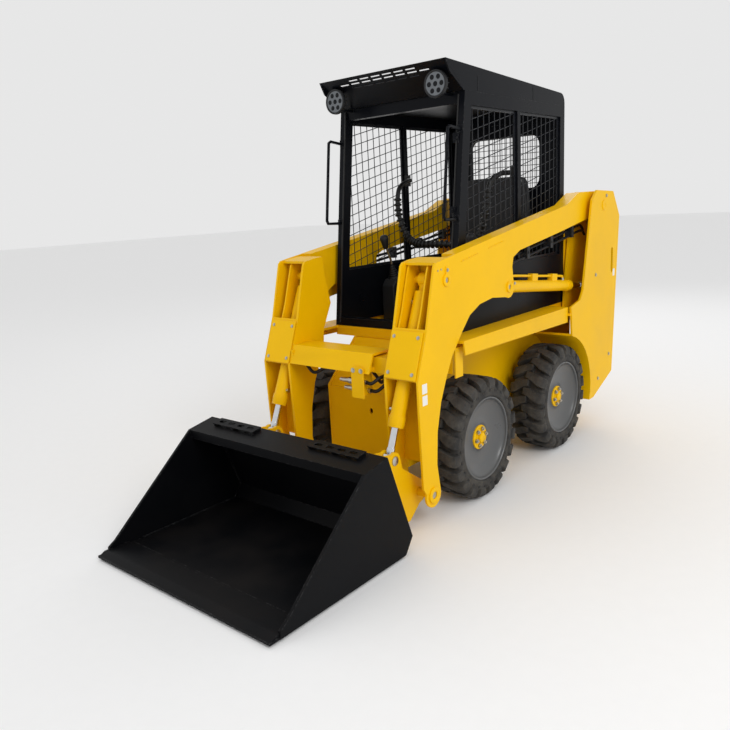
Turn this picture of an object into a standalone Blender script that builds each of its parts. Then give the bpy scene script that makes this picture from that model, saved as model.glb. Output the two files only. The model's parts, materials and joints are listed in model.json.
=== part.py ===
"""Skid steer loader: a compact wheeled loader with a radius-lift arm, a cab and a bucket.

Metres, +Z up. The loader faces -Y, +X is the operator's left, and the ground is z = 0.
Every place below is measured from the middle of the wheelbase. The empty "machine" then
moves the whole loader so that its origin is the middle of its footprint.
"""

import math

import bmesh
import bpy
from mathutils import Matrix, Vector

# ---------------------------------------------------------------- driving dimensions
WHEELBASE = 0.824            # between the two axles
TYRE_RADIUS = 0.290
TYRE_WIDTH = 0.200
TYRE_OUTER_X = 0.495         # outer sidewall, from the middle of the machine
RIM_RADIUS = 0.199
AXLE_RADIUS = 0.045
AXLE_FLANGE_RADIUS = 0.068

CHASSIS_HALF_WIDTH = 0.240
CHASSIS_FRONT_Y = -0.700
CHASSIS_REAR_Y = 1.044
CHASSIS_BOTTOM_Z = 0.190
DECK_TOP_Z = 0.747
FENDER_TOP_Z = 0.784
FENDER_OUTER_X = 0.485
PLATE = 0.012                # the steel plate of the chassis, arms and towers

CAB_HALF_WIDTH = 0.365
CAB_REAR_Y = 0.669
CAB_SILL_Y = -0.483          # front posts at the sill
CAB_HEADER_Y = -0.344        # front posts at the roof
CAB_WALL = 0.030
ROOF_BOTTOM_Z = 1.853
ROOF_TOP_Z = 1.930
VISOR_REACH_Y = -0.492
VISOR_TIP_Z = 1.971
WINDOW_SILL_Z = 1.060
WINDOW_TOP_Z = 1.795

TOWER_OUTER_X = 0.502
TOWER_INNER_X = 0.372
TOWER_REAR_Y = 1.143

ARM_PIVOT_Y = 0.905
ARM_PIVOT_Z = 1.313
ARM_OUTER_X = 0.463
ARM_INNER_X = 0.390          # inner face of the upper arm
LEG_INNER_X = 0.285          # inner face of the front leg
ARM_SKIN = 0.010             # outer skin of the arm
PIVOT_PIN_RADIUS = 0.020
PIN_CLEARANCE = 0.0008       # all round a pin that something turns on
LEG_SWING_RADIUS = 1.550     # nothing of the leg's inner plate comes nearer to the arm pivot

LIFT_PIN_Y = -0.144
LIFT_PIN_Z = 0.967
LIFT_FOOT_Y = 0.800          # where the lift rod's eye meets the tower
LIFT_FOOT_Z = 0.865
LIFT_X = 0.420
LIFT_BARREL_RADIUS = 0.030
LIFT_BARREL_LENGTH = 0.760
LIFT_ROD_RADIUS = 0.0165
LIFT_STROKE = 0.480

TILT_PIN_Y = -0.680
TILT_PIN_Z = 1.060
TILT_FOOT_Y = -0.985
TILT_FOOT_Z = 0.340
TILT_X = 0.355
TILT_BARREL_RADIUS = 0.033
TILT_BARREL_LENGTH = 0.645
TILT_ROD_RADIUS = 0.016
TILT_STROKE = 0.355
CYLINDER_PIN_RADIUS = 0.018
EYE_WIDTH = 0.036
ROD_LEFT_INSIDE = 0.030      # of a rod, inside its barrel at full stroke
TILT_TUCK = 0.080            # how far the tilt rod draws in as the bucket rolls back

COUPLER_PIN_Y = -0.821
COUPLER_PIN_Z = 0.147
COUPLER_EAR_GAP = 0.0385     # between the two ears that take a tilt rod's eye
COUPLER_HALF_WIDTH = 0.450

BUCKET_HALF_WIDTH = 0.527
BUCKET_TIP_Y = -1.853
BUCKET_FLOOR_Z = 0.010
BUCKET_HEEL_Y = -1.115
BUCKET_PLATE = 0.010

LIGHT_X = 0.292
LIGHT_Z = 1.879
LIGHT_FRONT_Y = -0.470
LIGHT_RADIUS = 0.058

TOUCH_GAP = 0.0003           # between two pieces that lie on each other
ROUND_SIDES = 16
WHEEL_STEPS = 28

WHEEL_HALF_BASE = WHEELBASE / 2
FOOTPRINT_MIDDLE_Y = (TOWER_REAR_Y + BUCKET_TIP_Y) / 2
OVERSHOOT = 0.010            # how far a cutter runs past what it cuts

# ---------------------------------------------------------------- scene and helpers
for existing in list(bpy.data.objects):
    bpy.data.objects.remove(existing, do_unlink=True)

parts = bpy.data.collections.new("skid_steer_loader")
cutters = bpy.data.collections.new("cutters")
bpy.context.scene.collection.children.link(parts)
bpy.context.scene.collection.children.link(cutters)


def pivot(name, y, z, x=0.0, parent=None):
    """An empty that a moving piece hangs on, placed on its joint's axis."""
    empty = bpy.data.objects.new(name, None)
    parts.objects.link(empty)
    empty.location = (x, y, z)
    if parent:
        empty.parent = parent
        empty.matrix_parent_inverse = at(parent).inverted()
    return empty


def at(empty):
    """The empty's place in the machine's own frame, before the machine is moved."""
    if empty is machine:
        return Matrix.Identity(4)
    return Matrix.Translation(empty.location)


def material(name, colour, roughness, metallic):
    made = bpy.data.materials.new(name)
    made.use_nodes = True
    shader = made.node_tree.nodes["Principled BSDF"]
    shader.inputs["Base Color"].default_value = (*colour, 1.0)
    shader.inputs["Roughness"].default_value = roughness
    shader.inputs["Metallic"].default_value = metallic
    return made


FINISHES = {
    "yellow": ((0.90, 0.56, 0.01), 0.35, 0.0),
    "black": ((0.012, 0.013, 0.018), 0.35, 0.0),
    "rubber": ((0.035, 0.036, 0.036), 0.85, 0.0),
    "grey": ((0.12, 0.12, 0.12), 0.40, 0.2),
    "steel": ((0.55, 0.55, 0.56), 0.25, 1.0),
    "lens": ((0.45, 0.47, 0.50), 0.15, 0.0),
    "vinyl": ((0.02, 0.02, 0.022), 0.60, 0.0),
}


def part(solid, name, finish, parent):
    """Names a finished solid as a sub-part, gives it a finish and hangs it on its pivot."""
    solid.name = name
    solid.data.name = name
    solid.data.materials.clear()
    solid.data.materials.append(material(name + "_finish", *FINISHES[finish]))
    parts.objects.link(solid)
    cutters.objects.unlink(solid)
    solid.display_type = "TEXTURED"
    solid.hide_render = False
    hang(solid, parent)
    return solid


def hang(solid, parent):
    solid.parent = parent
    solid.matrix_parent_inverse = at(parent).inverted()


def raw(mesh, name):
    """A solid that isn't a sub-part yet: it waits among the cutters."""
    solid = bpy.data.objects.new(name, mesh)
    cutters.objects.link(solid)
    solid.display_type = "WIRE"
    solid.hide_render = True
    hang(solid, machine)
    return solid


def box(low, high):
    """A box between two corners."""
    mesh = bpy.data.meshes.new("box")
    shape = bmesh.new()
    low, high = Vector(low), Vector(high)
    size = Matrix.Diagonal((*(high - low), 1.0))
    bmesh.ops.create_cube(shape, size=1.0, matrix=Matrix.Translation((low + high) / 2) @ size)
    shape.to_mesh(mesh)
    shape.free()
    return raw(mesh, "box")


def rod(start, end, radius, sides=ROUND_SIDES):
    """A round bar between two points."""
    start, end = Vector(start), Vector(end)
    along = end - start
    turn = along.to_track_quat("Z", "Y").to_matrix().to_4x4()
    place = Matrix.Translation((start + end) / 2) @ turn
    mesh = bpy.data.meshes.new("rod")
    shape = bmesh.new()
    bmesh.ops.create_cone(shape, cap_ends=True, segments=sides, radius1=radius, radius2=radius,
                          depth=along.length, matrix=place)
    shape.to_mesh(mesh)
    shape.free()
    mesh.shade_smooth()
    mesh.set_sharp_from_angle(angle=math.radians(40))
    return raw(mesh, "rod")


def meshed(curve_object):
    """A curve made into a welded mesh, so that it can be cut or joined."""
    bpy.context.scene.collection.objects.link(curve_object)
    bpy.context.view_layer.update()
    shown = curve_object.evaluated_get(bpy.context.evaluated_depsgraph_get())
    mesh = bpy.data.meshes.new_from_object(shown)
    mesh.transform(curve_object.matrix_world)
    shape = bmesh.new()
    shape.from_mesh(mesh)
    bmesh.ops.remove_doubles(shape, verts=shape.verts, dist=0.00001)
    bmesh.ops.recalc_face_normals(shape, faces=shape.faces)
    shape.to_mesh(mesh)
    shape.free()
    bpy.data.objects.remove(curve_object, do_unlink=True)
    return raw(mesh, "outline")


def plate_x(outline, low_x, high_x):
    """A flat outline in Y and Z, as thick as the space between two X places."""
    curve = bpy.data.curves.new("outline", "CURVE")
    curve.dimensions = "2D"
    curve.fill_mode = "BOTH"
    curve.extrude = (high_x - low_x) / 2
    spline = curve.splines.new("POLY")
    spline.points.add(len(outline) - 1)
    for point, (y, z) in zip(spline.points, outline):
        point.co = (y, z, 0.0, 1.0)
    spline.use_cyclic_u = True
    shape = bpy.data.objects.new("outline", curve)
    shape.matrix_world = Matrix(((0, 0, 1, (low_x + high_x) / 2), (1, 0, 0, 0), (0, 1, 0, 0),
                                 (0, 0, 0, 1)))
    return meshed(shape)


def plate_y(outline, low_y, high_y):
    """A flat outline in X and Z, as thick as the space between two Y places."""
    solid = plate_x(outline, low_y, high_y)
    solid.data.transform(Matrix(((0, 1, 0, 0), (1, 0, 0, 0), (0, 0, 1, 0), (0, 0, 0, 1))))
    solid.data.flip_normals()
    return solid


def bent_bar(points, radius):
    """A round bar bent through the points."""
    curve = bpy.data.curves.new("bar", "CURVE")
    curve.dimensions = "3D"
    curve.bevel_depth = radius
    curve.bevel_resolution = 2
    curve.use_fill_caps = True
    spline = curve.splines.new("POLY")
    spline.points.add(len(points) - 1)
    for point, place in zip(spline.points, points):
        point.co = (*place, 1.0)
    return meshed(bpy.data.objects.new("bar", curve))


def turned(profile, centre, steps=WHEEL_STEPS, closed=False):
    """A profile of (x, radius) points turned about the X axis through the centre."""
    mesh = bpy.data.meshes.new("turned")
    shape = bmesh.new()
    corners = [shape.verts.new((radius, 0.0, x)) for x, radius in profile]
    for first, second in zip(corners, corners[1:]):
        shape.edges.new((first, second))
    if closed:
        shape.edges.new((corners[-1], corners[0]))
    shape.to_mesh(mesh)
    shape.free()
    solid = raw(mesh, "turned")
    screw = solid.modifiers.new("turn", "SCREW")
    screw.axis = "Z"
    screw.steps = steps
    screw.render_steps = steps
    screw.use_merge_vertices = True
    screw.merge_threshold = 0.00005
    solid.location = centre
    solid.rotation_euler = (0.0, math.radians(90.0), 0.0)
    return solid


def cut(solid, *tools):
    """Takes the tools out of the solid."""
    return boolean(solid, "DIFFERENCE", tools)


def fuse(solid, *tools):
    """Welds the tools to the solid."""
    return boolean(solid, "UNION", tools)


def boolean(solid, operation, tools):
    for tool in tools:
        step = solid.modifiers.new(operation.lower(), "BOOLEAN")
        step.operation = operation
        step.solver = "EXACT"
        step.object = tool
    return solid


def arc(centre, radius, start, end, steps=6):
    """Points on an arc in Y and Z. Angles are degrees from +Y towards +Z."""
    angles = [math.radians(start + (end - start) * i / steps) for i in range(steps + 1)]
    return [(centre[0] + radius * math.cos(a), centre[1] + radius * math.sin(a)) for a in angles]


def strip(edge, thickness):
    """A closed outline that follows an open edge, with its thickness to the edge's left."""
    inner = []
    for i, (y, z) in enumerate(edge):
        before, after = edge[max(i - 1, 0)], edge[min(i + 1, len(edge) - 1)]
        run = Vector((after[0] - before[0], after[1] - before[1])).normalized()
        inner.append((y - run.y * thickness, z + run.x * thickness))
    return list(edge) + inner[::-1]


def sided(side, low, high):
    """An X range given for the left side, turned to the side asked for."""
    return (low, high) if side > 0 else (-high, -low)


# ---------------------------------------------------------------- joints' pivots
machine = pivot("machine", -FOOTPRINT_MIDDLE_Y, 0.0)
lift_pivot = pivot("lift_arms_pivot", ARM_PIVOT_Y, ARM_PIVOT_Z, parent=machine)
bucket_pivot = pivot("bucket_pivot", COUPLER_PIN_Y, COUPLER_PIN_Z, parent=lift_pivot)
DOOR_HINGE_X = -0.352
DOOR_HINGE_Y = 1.135
door_pivot = pivot("rear_door_pivot", DOOR_HINGE_Y, 0.0, x=DOOR_HINGE_X, parent=machine)

SIDES = (("left", 1), ("right", -1))

# ---------------------------------------------------------------- wheels
TYRE_INNER_X = TYRE_OUTER_X - TYRE_WIDTH
TYRE_SHOULDER = 0.028
BEAD = 0.005                 # the tyre's bead stands in from its sidewall
RIM_THICKNESS = 0.010
RIM_DISH = 0.045             # the disc lies this far inside the rim's lip


def tyre_profile():
    """Ring section as (x, radius), x from the wheel's inner sidewall, outwards positive."""
    w, r, s = TYRE_WIDTH, TYRE_RADIUS, TYRE_SHOULDER
    return [(BEAD, RIM_RADIUS), (0.0, RIM_RADIUS + 0.014), (0.0, r - s), (s * 0.4, r - s * 0.3),
            (s, r), (w - s, r), (w - s * 0.4, r - s * 0.3), (w, r - s),
            (w, RIM_RADIUS + 0.014), (w - BEAD, RIM_RADIUS)]


def rim_profile():
    """Barrel and dished disc as (x, radius), from the outside of the disc round to the inside."""
    lip = TYRE_WIDTH - BEAD - 0.002
    outer = RIM_RADIUS - 0.0006
    disc = lip - RIM_DISH
    return [(disc + 0.010, 0.0), (disc + 0.010, 0.070), (disc, 0.080), (disc + 0.004, 0.140),
            (lip - 0.010, outer - 0.014), (lip, outer - 0.010), (lip, outer),
            (BEAD + 0.002, outer), (BEAD + 0.002, outer - RIM_THICKNESS),
            (disc - 0.020, outer - RIM_THICKNESS - 0.010), (disc - RIM_THICKNESS, 0.080),
            (0.065, 0.075), (0.065, 0.0)]


def wheel(end, side_name, side, y):
    spin = pivot(f"wheel_{end}_{side_name}_pivot", y, TYRE_RADIUS, x=side * TYRE_INNER_X, parent=machine)
    centre = (side * TYRE_INNER_X, y, TYRE_RADIUS)
    tyre_points = [(side * x, r) for x, r in tyre_profile()]
    rim_points = [(side * x, r) for x, r in rim_profile()]
    if side < 0:
        rim_points = rim_points[::-1]
    tyre = turned(tyre_points if side < 0 else tyre_points[::-1], centre, closed=True)
    rim = turned(rim_points, centre)
    part(tyre, f"tyre_{end}_{side_name}", "rubber", spin)
    part(rim, f"rim_{end}_{side_name}", "grey", spin)


for side_name, side in SIDES:
    wheel("front", side_name, side, -WHEEL_HALF_BASE)
    wheel("rear", side_name, side, WHEEL_HALF_BASE)

# ---------------------------------------------------------------- axles
AXLE_END_X = TYRE_INNER_X + 0.065 - TOUCH_GAP
for end, y in (("front", -WHEEL_HALF_BASE), ("rear", WHEEL_HALF_BASE)):
    axle = rod((-AXLE_END_X, y, TYRE_RADIUS), (AXLE_END_X, y, TYRE_RADIUS), AXLE_RADIUS)
    for side in (1, -1):
        flange = rod((side * (AXLE_END_X - 0.014), y, TYRE_RADIUS), (side * AXLE_END_X, y, TYRE_RADIUS),
                     AXLE_FLANGE_RADIUS)
        fuse(axle, flange)
    part(axle, f"axle_{end}", "black", machine)

# ---------------------------------------------------------------- chassis
half = CHASSIS_HALF_WIDTH
inner_half = half - PLATE
side_outline = [(CHASSIS_FRONT_Y, CHASSIS_BOTTOM_Z), (CHASSIS_REAR_Y, CHASSIS_BOTTOM_Z),
                (CHASSIS_REAR_Y, DECK_TOP_Z), (-0.470, DECK_TOP_Z), (CHASSIS_FRONT_Y, 0.530)]
chassis = plate_x(side_outline, inner_half, half)
fuse(chassis, plate_x(side_outline, -half, -inner_half))
fuse(chassis, box((-half + 0.004, CHASSIS_FRONT_Y + 0.003, CHASSIS_BOTTOM_Z + 0.001),
                  (half - 0.004, CHASSIS_REAR_Y - 0.003, CHASSIS_BOTTOM_Z + PLATE)))
fuse(chassis, box((-half + 0.005, CHASSIS_FRONT_Y + 0.001, CHASSIS_BOTTOM_Z + 0.004),
                  (half - 0.005, CHASSIS_FRONT_Y + PLATE, 0.527)))
apron_outline = strip([(CHASSIS_FRONT_Y, 0.520), (-0.470, DECK_TOP_Z - 0.008)], -PLATE)
fuse(chassis, plate_x(apron_outline, -half + 0.004, half - 0.004))
fuse(chassis, box((-CAB_HALF_WIDTH + 0.003, -0.480, DECK_TOP_Z - PLATE),
                  (CAB_HALF_WIDTH - 0.003, CAB_REAR_Y, DECK_TOP_Z)))
FENDER_FRONT_Y = -0.588
FENDER_REAR_Y = 0.470
fuse(chassis, box((-half + 0.005, CHASSIS_REAR_Y - PLATE, CHASSIS_BOTTOM_Z + 0.003),
                  (half - 0.005, CHASSIS_REAR_Y - 0.001, DECK_TOP_Z - 0.002)))
RISER_X = CAB_HALF_WIDTH - 0.015
for y in (-0.480, CAB_REAR_Y - PLATE - 0.002):
    fuse(chassis, box((-RISER_X - 0.004, y + 0.001, DECK_TOP_Z - 0.008),
                      (RISER_X + 0.004, y + PLATE, FENDER_TOP_Z - 0.001)))
for side_name, side in SIDES:
    low, high = sided(side, RISER_X, FENDER_OUTER_X)
    fuse(chassis, box((low, FENDER_FRONT_Y, FENDER_TOP_Z - PLATE),
                      (high, FENDER_REAR_Y, FENDER_TOP_Z)))
    low, high = sided(side, FENDER_OUTER_X - 0.008, FENDER_OUTER_X - 0.0005)
    lip = [(FENDER_FRONT_Y + 0.001, FENDER_TOP_Z - 0.004), (FENDER_FRONT_Y + 0.012, 0.719),
           (FENDER_REAR_Y - 0.001, 0.700), (FENDER_REAR_Y - 0.001, FENDER_TOP_Z - 0.004)]
    fuse(chassis, plate_x(lip, low, high))
    low, high = sided(side, RISER_X + 0.001, RISER_X + 0.010)
    fuse(chassis, box((low, -0.476, DECK_TOP_Z - 0.006),
                      (high, CAB_REAR_Y - 0.004, FENDER_TOP_Z - 0.002)))
for y in (-WHEEL_HALF_BASE, WHEEL_HALF_BASE):
    bore_end = half + OVERSHOOT
    cut(chassis, rod((-bore_end, y, TYRE_RADIUS), (bore_end, y, TYRE_RADIUS), AXLE_RADIUS + TOUCH_GAP))
part(chassis, "chassis_frame", "yellow", machine)

bumper = box((-half + 0.002, CHASSIS_REAR_Y + TOUCH_GAP, 0.200), (half - 0.002, 1.125, 0.315))
part(bumper, "rear_bumper", "black", machine)

# ---------------------------------------------------------------- engine
engine = box((-0.190, 0.715, CHASSIS_BOTTOM_Z + PLATE + TOUCH_GAP), (0.190, 1.020, 0.930))
part(engine, "engine_block", "grey", machine)

HOOD_TOP_Z = 1.200
HOOD_HALF_WIDTH = 0.362
HOOD_REAR_Y = 1.090
HOOD_WALL = 0.010
hood_front_y = CAB_REAR_Y + TOUCH_GAP
hood = box((-HOOD_HALF_WIDTH, hood_front_y, DECK_TOP_Z + TOUCH_GAP),
           (HOOD_HALF_WIDTH, HOOD_REAR_Y, HOOD_TOP_Z))
cut(hood, box((-HOOD_HALF_WIDTH + HOOD_WALL, hood_front_y + HOOD_WALL, DECK_TOP_Z - OVERSHOOT),
              (HOOD_HALF_WIDTH - HOOD_WALL, HOOD_REAR_Y + OVERSHOOT, HOOD_TOP_Z - HOOD_WALL)))
DOOR_BOTTOM_Z = 0.765
DOOR_TOP_Z = 1.175
DOOR_REAR_Y = 1.125
DOOR_FREE_X = 0.345          # the door's edge away from its hinges
DOOR_THICKNESS = 0.028
HINGE_RADIUS = 0.010
HINGE_PIN_RADIUS = 0.005
HINGE_PIN_CLEARANCE = 0.0006
HINGE_Z = (0.820, 1.080)     # underside of the two hinges
HINGE_LUG = 0.012            # thickness of the lug that a hinge's knuckle stands on
HINGE_HEIGHT = 0.060
hood_side = -HOOD_HALF_WIDTH
for hinge_z in HINGE_Z:
    lug = box((hood_side, HOOD_REAR_Y - 0.040, hinge_z),
              (hood_side + HOOD_WALL - 0.001, DOOR_HINGE_Y + 0.008, hinge_z + HINGE_LUG))
    seat_plate = box((DOOR_HINGE_X - 0.0095, DOOR_HINGE_Y - 0.009, hinge_z + 0.0005),
                     (DOOR_HINGE_X + 0.009, DOOR_HINGE_Y + 0.0075, hinge_z + HINGE_LUG - 0.0005))
    pin = rod((DOOR_HINGE_X, DOOR_HINGE_Y, hinge_z + 0.005),
              (DOOR_HINGE_X, DOOR_HINGE_Y, hinge_z + HINGE_HEIGHT + 0.010), HINGE_PIN_RADIUS, 12)
    fuse(hood, lug, seat_plate, pin)
part(hood, "engine_hood", "yellow", machine)

door = box((DOOR_HINGE_X + 0.012, DOOR_REAR_Y - DOOR_THICKNESS, DOOR_BOTTOM_Z),
           (DOOR_FREE_X, DOOR_REAR_Y, DOOR_TOP_Z))
for hinge_z in HINGE_Z:
    knuckle = rod((DOOR_HINGE_X, DOOR_HINGE_Y, hinge_z + HINGE_LUG + 0.0005),
                  (DOOR_HINGE_X, DOOR_HINGE_Y, hinge_z + HINGE_HEIGHT), HINGE_RADIUS)
    leaf = box((DOOR_HINGE_X, DOOR_REAR_Y - 0.004, hinge_z + 0.014),
               (DOOR_HINGE_X + 0.050, DOOR_REAR_Y + 0.004, hinge_z + HINGE_HEIGHT - 0.002))
    bore = rod((DOOR_HINGE_X, DOOR_HINGE_Y, hinge_z), (DOOR_HINGE_X, DOOR_HINGE_Y, hinge_z + 0.080),
               HINGE_PIN_RADIUS + HINGE_PIN_CLEARANCE, 12)
    fuse(door, leaf, knuckle)
    cut(door, bore)
part(door, "rear_door", "yellow", door_pivot)

# ---------------------------------------------------------------- towers
ARCH_RADIUS = TYRE_RADIUS + 0.050
REAR_AXLE = (WHEEL_HALF_BASE, TYRE_RADIUS)
arch = arc(REAR_AXLE, ARCH_RADIUS, -16.0, 76.0, 10)
tower_outline = [(0.593, 0.807), (0.632, 0.858), (0.736, 1.346), (0.803, 1.399), (1.039, 1.389),
                 (TOWER_REAR_Y, 1.247), (1.074, 0.304), (0.800, 0.197)] + arch + [(0.478, 0.784)]
rear_edge = [(0.800, 0.197), (1.074, 0.304), (TOWER_REAR_Y, 1.247), (1.039, 1.389), (0.980, 1.3915)]
inner_tower = [(0.640, DECK_TOP_Z + 0.003), (0.655, 0.870), (0.740, 1.340), (0.803, 1.394), (1.039, 1.386),
               (TOWER_REAR_Y - 0.003, 1.247), (1.108, 0.750)]
for side_name, side in SIDES:
    tower = plate_x(tower_outline, *sided(side, TOWER_OUTER_X - PLATE, TOWER_OUTER_X))
    fuse(tower, plate_x(strip(arch, -PLATE), *sided(side, half + TOUCH_GAP, TOWER_OUTER_X - 0.004)))
    between = sided(side, TOWER_INNER_X + 0.002, TOWER_OUTER_X - 0.004)
    fuse(tower, plate_x(strip(rear_edge[:3], PLATE), *between))
    fuse(tower, plate_x(strip(rear_edge[2:], PLATE), *between))
    fuse(tower, plate_x(inner_tower, *sided(side, TOWER_INNER_X, TOWER_INNER_X + PLATE)))
    low_rear = strip(rear_edge[:2] + [(1.106, DECK_TOP_Z - 0.002)], PLATE)
    fuse(tower, plate_x(low_rear, *sided(side, half + TOUCH_GAP, TOWER_INNER_X + 0.010)))
    low, high = sided(side, CAB_HALF_WIDTH + 0.001, TOWER_OUTER_X - 0.004)
    fuse(tower, box((low, 0.4703, DECK_TOP_Z - PLATE), (high, 1.100, DECK_TOP_Z + 0.002)))
    fuse(tower, rod((side * (TOWER_INNER_X + 0.002), ARM_PIVOT_Y, ARM_PIVOT_Z),
                    (side * (TOWER_OUTER_X - 0.002), ARM_PIVOT_Y, ARM_PIVOT_Z), PIVOT_PIN_RADIUS))
    part(tower, f"tower_{side_name}", "yellow", machine)

# ---------------------------------------------------------------- cab
def post_y(z):
    """Where the front posts' front edge is at a height: they lean back."""
    share = (z - DECK_TOP_Z) / (ROOF_BOTTOM_Z - DECK_TOP_Z)
    return CAB_SILL_Y + (CAB_HEADER_Y - CAB_SILL_Y) * share


CAB_BOTTOM_Z = FENDER_TOP_Z + TOUCH_GAP
POST_DEPTH = 0.060
MID_POST_Y = 0.150
MID_POST_DEPTH = 0.030
REAR_POST_DEPTH = 0.050
RAIL_Z = ROOF_BOTTOM_Z - TOUCH_GAP
side_wall = [(post_y(CAB_BOTTOM_Z), CAB_BOTTOM_Z), (CAB_REAR_Y, CAB_BOTTOM_Z), (CAB_REAR_Y, RAIL_Z),
             (post_y(RAIL_Z), RAIL_Z)]
mid_front_y = MID_POST_Y - MID_POST_DEPTH / 2
mid_rear_y = MID_POST_Y + MID_POST_DEPTH / 2
window_rear_y = CAB_REAR_Y - REAR_POST_DEPTH
front_window = [(post_y(WINDOW_SILL_Z) + POST_DEPTH, WINDOW_SILL_Z), (mid_front_y, WINDOW_SILL_Z),
                (mid_front_y, WINDOW_TOP_Z), (post_y(WINDOW_TOP_Z) + POST_DEPTH, WINDOW_TOP_Z)]
rear_window = [(mid_rear_y, WINDOW_SILL_Z), (window_rear_y, WINDOW_SILL_Z),
               (window_rear_y, WINDOW_TOP_Z), (mid_rear_y, WINDOW_TOP_Z)]
inner_cab = CAB_HALF_WIDTH - CAB_WALL
cab = plate_x(side_wall, inner_cab, CAB_HALF_WIDTH)
fuse(cab, plate_x(side_wall, -CAB_HALF_WIDTH, -inner_cab))
for side in (1, -1):
    for window in (front_window, rear_window):
        cut(cab, plate_x(window, *sided(side, inner_cab - OVERSHOOT, CAB_HALF_WIDTH + OVERSHOOT)))
reach = inner_cab + 0.004
fuse(cab, box((-reach, CAB_SILL_Y + 0.006, CAB_BOTTOM_Z), (reach, CAB_SILL_Y + 0.050, CAB_BOTTOM_Z + 0.040)))
fuse(cab, box((-reach, CAB_HEADER_Y + 0.006, ROOF_BOTTOM_Z - 0.050), (reach, CAB_HEADER_Y + 0.046, RAIL_Z)))
fuse(cab, box((-reach, CAB_REAR_Y - 0.030, ROOF_BOTTOM_Z - 0.060), (reach, CAB_REAR_Y, RAIL_Z)))
HANDLE_X = 0.350
for side in (1, -1):
    x = side * HANDLE_X
    bar = [(x, post_y(1.700) + 0.010, 1.688), (x, -0.452, 1.700), (x, -0.466, 1.692), (x, -0.514, 1.318),
           (x, -0.506, 1.303), (x, post_y(1.300) + 0.010, 1.300)]
    fuse(cab, bent_bar(bar, 0.0075))
part(cab, "cab_frame", "black", machine)

REAR_WINDOW_HALF_WIDTH = 0.225
REAR_WINDOW_LOW_Z = 1.430
REAR_WINDOW_TOP_Z = 1.722
rear_low_y = CAB_REAR_Y - 0.022
rear_wall = box((-inner_cab + TOUCH_GAP, rear_low_y, CAB_BOTTOM_Z),
                (inner_cab - TOUCH_GAP, CAB_REAR_Y, ROOF_BOTTOM_Z - 0.060 - TOUCH_GAP))
corner = 0.055
half_w = REAR_WINDOW_HALF_WIDTH - corner
opening = (arc((half_w, REAR_WINDOW_TOP_Z - corner), corner, 0, 90, 5)
           + arc((-half_w, REAR_WINDOW_TOP_Z - corner), corner, 90, 180, 5)
           + arc((-half_w, REAR_WINDOW_LOW_Z + corner), corner, 180, 270, 5)
           + arc((half_w, REAR_WINDOW_LOW_Z + corner), corner, 270, 360, 5))
cut(rear_wall, plate_y(opening, rear_low_y - OVERSHOOT, CAB_REAR_Y + OVERSHOOT))
part(rear_wall, "cab_rear_panel", "black", machine)

visor_tip = Vector((VISOR_REACH_Y, VISOR_TIP_Z))
visor_foot = Vector((CAB_HEADER_Y - 0.008, ROOF_BOTTOM_Z))
roof_outline = [tuple(visor_tip), tuple(visor_foot), (CAB_REAR_Y, ROOF_BOTTOM_Z)]
roof_outline += arc((CAB_REAR_Y - 0.050, ROOF_TOP_Z - 0.062), 0.050, 0, 80, 4)
roof = plate_x(roof_outline, -CAB_HALF_WIDTH, CAB_HALF_WIDTH)
VISOR_SHEET = 0.005
slope = (visor_foot - visor_tip).normalized()
sheet_top = visor_tip + Vector((-slope.y, slope.x)) * VISOR_SHEET
sheet_foot = visor_foot + Vector((-slope.y, slope.x)) * VISOR_SHEET - slope * 0.020
pocket_top_z = VISOR_TIP_Z + 0.050
pocket = [tuple(sheet_top), tuple(sheet_foot), (CAB_HEADER_Y, sheet_foot.y), (CAB_HEADER_Y, pocket_top_z),
          (sheet_top.x, pocket_top_z)]
cut(roof, plate_x(pocket, -CAB_HALF_WIDTH + 0.008, CAB_HALF_WIDTH - 0.008))
cheek = [(VISOR_REACH_Y + 0.002, VISOR_TIP_Z - 0.003), (VISOR_REACH_Y + 0.030, 1.920),
         (CAB_HEADER_Y - 0.010, ROOF_BOTTOM_Z + 0.001), (CAB_HEADER_Y + 0.040, ROOF_BOTTOM_Z + 0.001),
         (CAB_HEADER_Y + 0.040, ROOF_TOP_Z)]
for side in (1, -1):
    fuse(roof, plate_x(cheek, *sided(side, CAB_HALF_WIDTH - 0.007, CAB_HALF_WIDTH - 0.0005)))
part(roof, "cab_roof", "black", machine)

GUARD_INSET = 0.012
GUARD_THICKNESS = 0.006
GUARD_BAR = 0.020            # width of a bar between two holes of a side window's guard
GUARD_COLUMNS = 3
GUARD_ROWS = 4


def guard_hole(window, column, row):
    """One hole of a guard, as a share of its window, less half a bar all round."""
    (low_front, bottom), (low_rear, _), (top_rear, top), (top_front, _) = window
    corners = []
    for across, up in ((0, 0), (1, 0), (1, 1), (0, 1)):
        rise = (row + up) / GUARD_ROWS
        front = low_front + (top_front - low_front) * rise
        rear = low_rear + (top_rear - low_rear) * rise
        inward = GUARD_BAR / 2
        y = front + (rear - front) * (column + across) / GUARD_COLUMNS + (inward, -inward)[across]
        corners.append((y, bottom + (top - bottom) * rise + (inward, -inward)[up]))
    return corners


for side_name, side in SIDES:
    low, high = sided(side, CAB_HALF_WIDTH - GUARD_INSET - GUARD_THICKNESS, CAB_HALF_WIDTH - GUARD_INSET)
    for panel_name, window in (("front", front_window), ("rear", rear_window)):
        (y0, z0), (y1, _), (y2, z2), (y3, _) = window
        inset = TOUCH_GAP
        edge = [(y0 + inset, z0 + inset), (y1 - inset, z0 + inset),
                (y2 - inset, z2 - inset), (y3 + inset, z2 - inset)]
        guard = plate_x(edge, low, high)
        for row in range(GUARD_ROWS):
            for column in range(GUARD_COLUMNS):
                cut(guard, plate_x(guard_hole(window, column, row), low - OVERSHOOT, high + OVERSHOOT))
        part(guard, f"cab_guard_{panel_name}_{side_name}", "black", machine)

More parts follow.
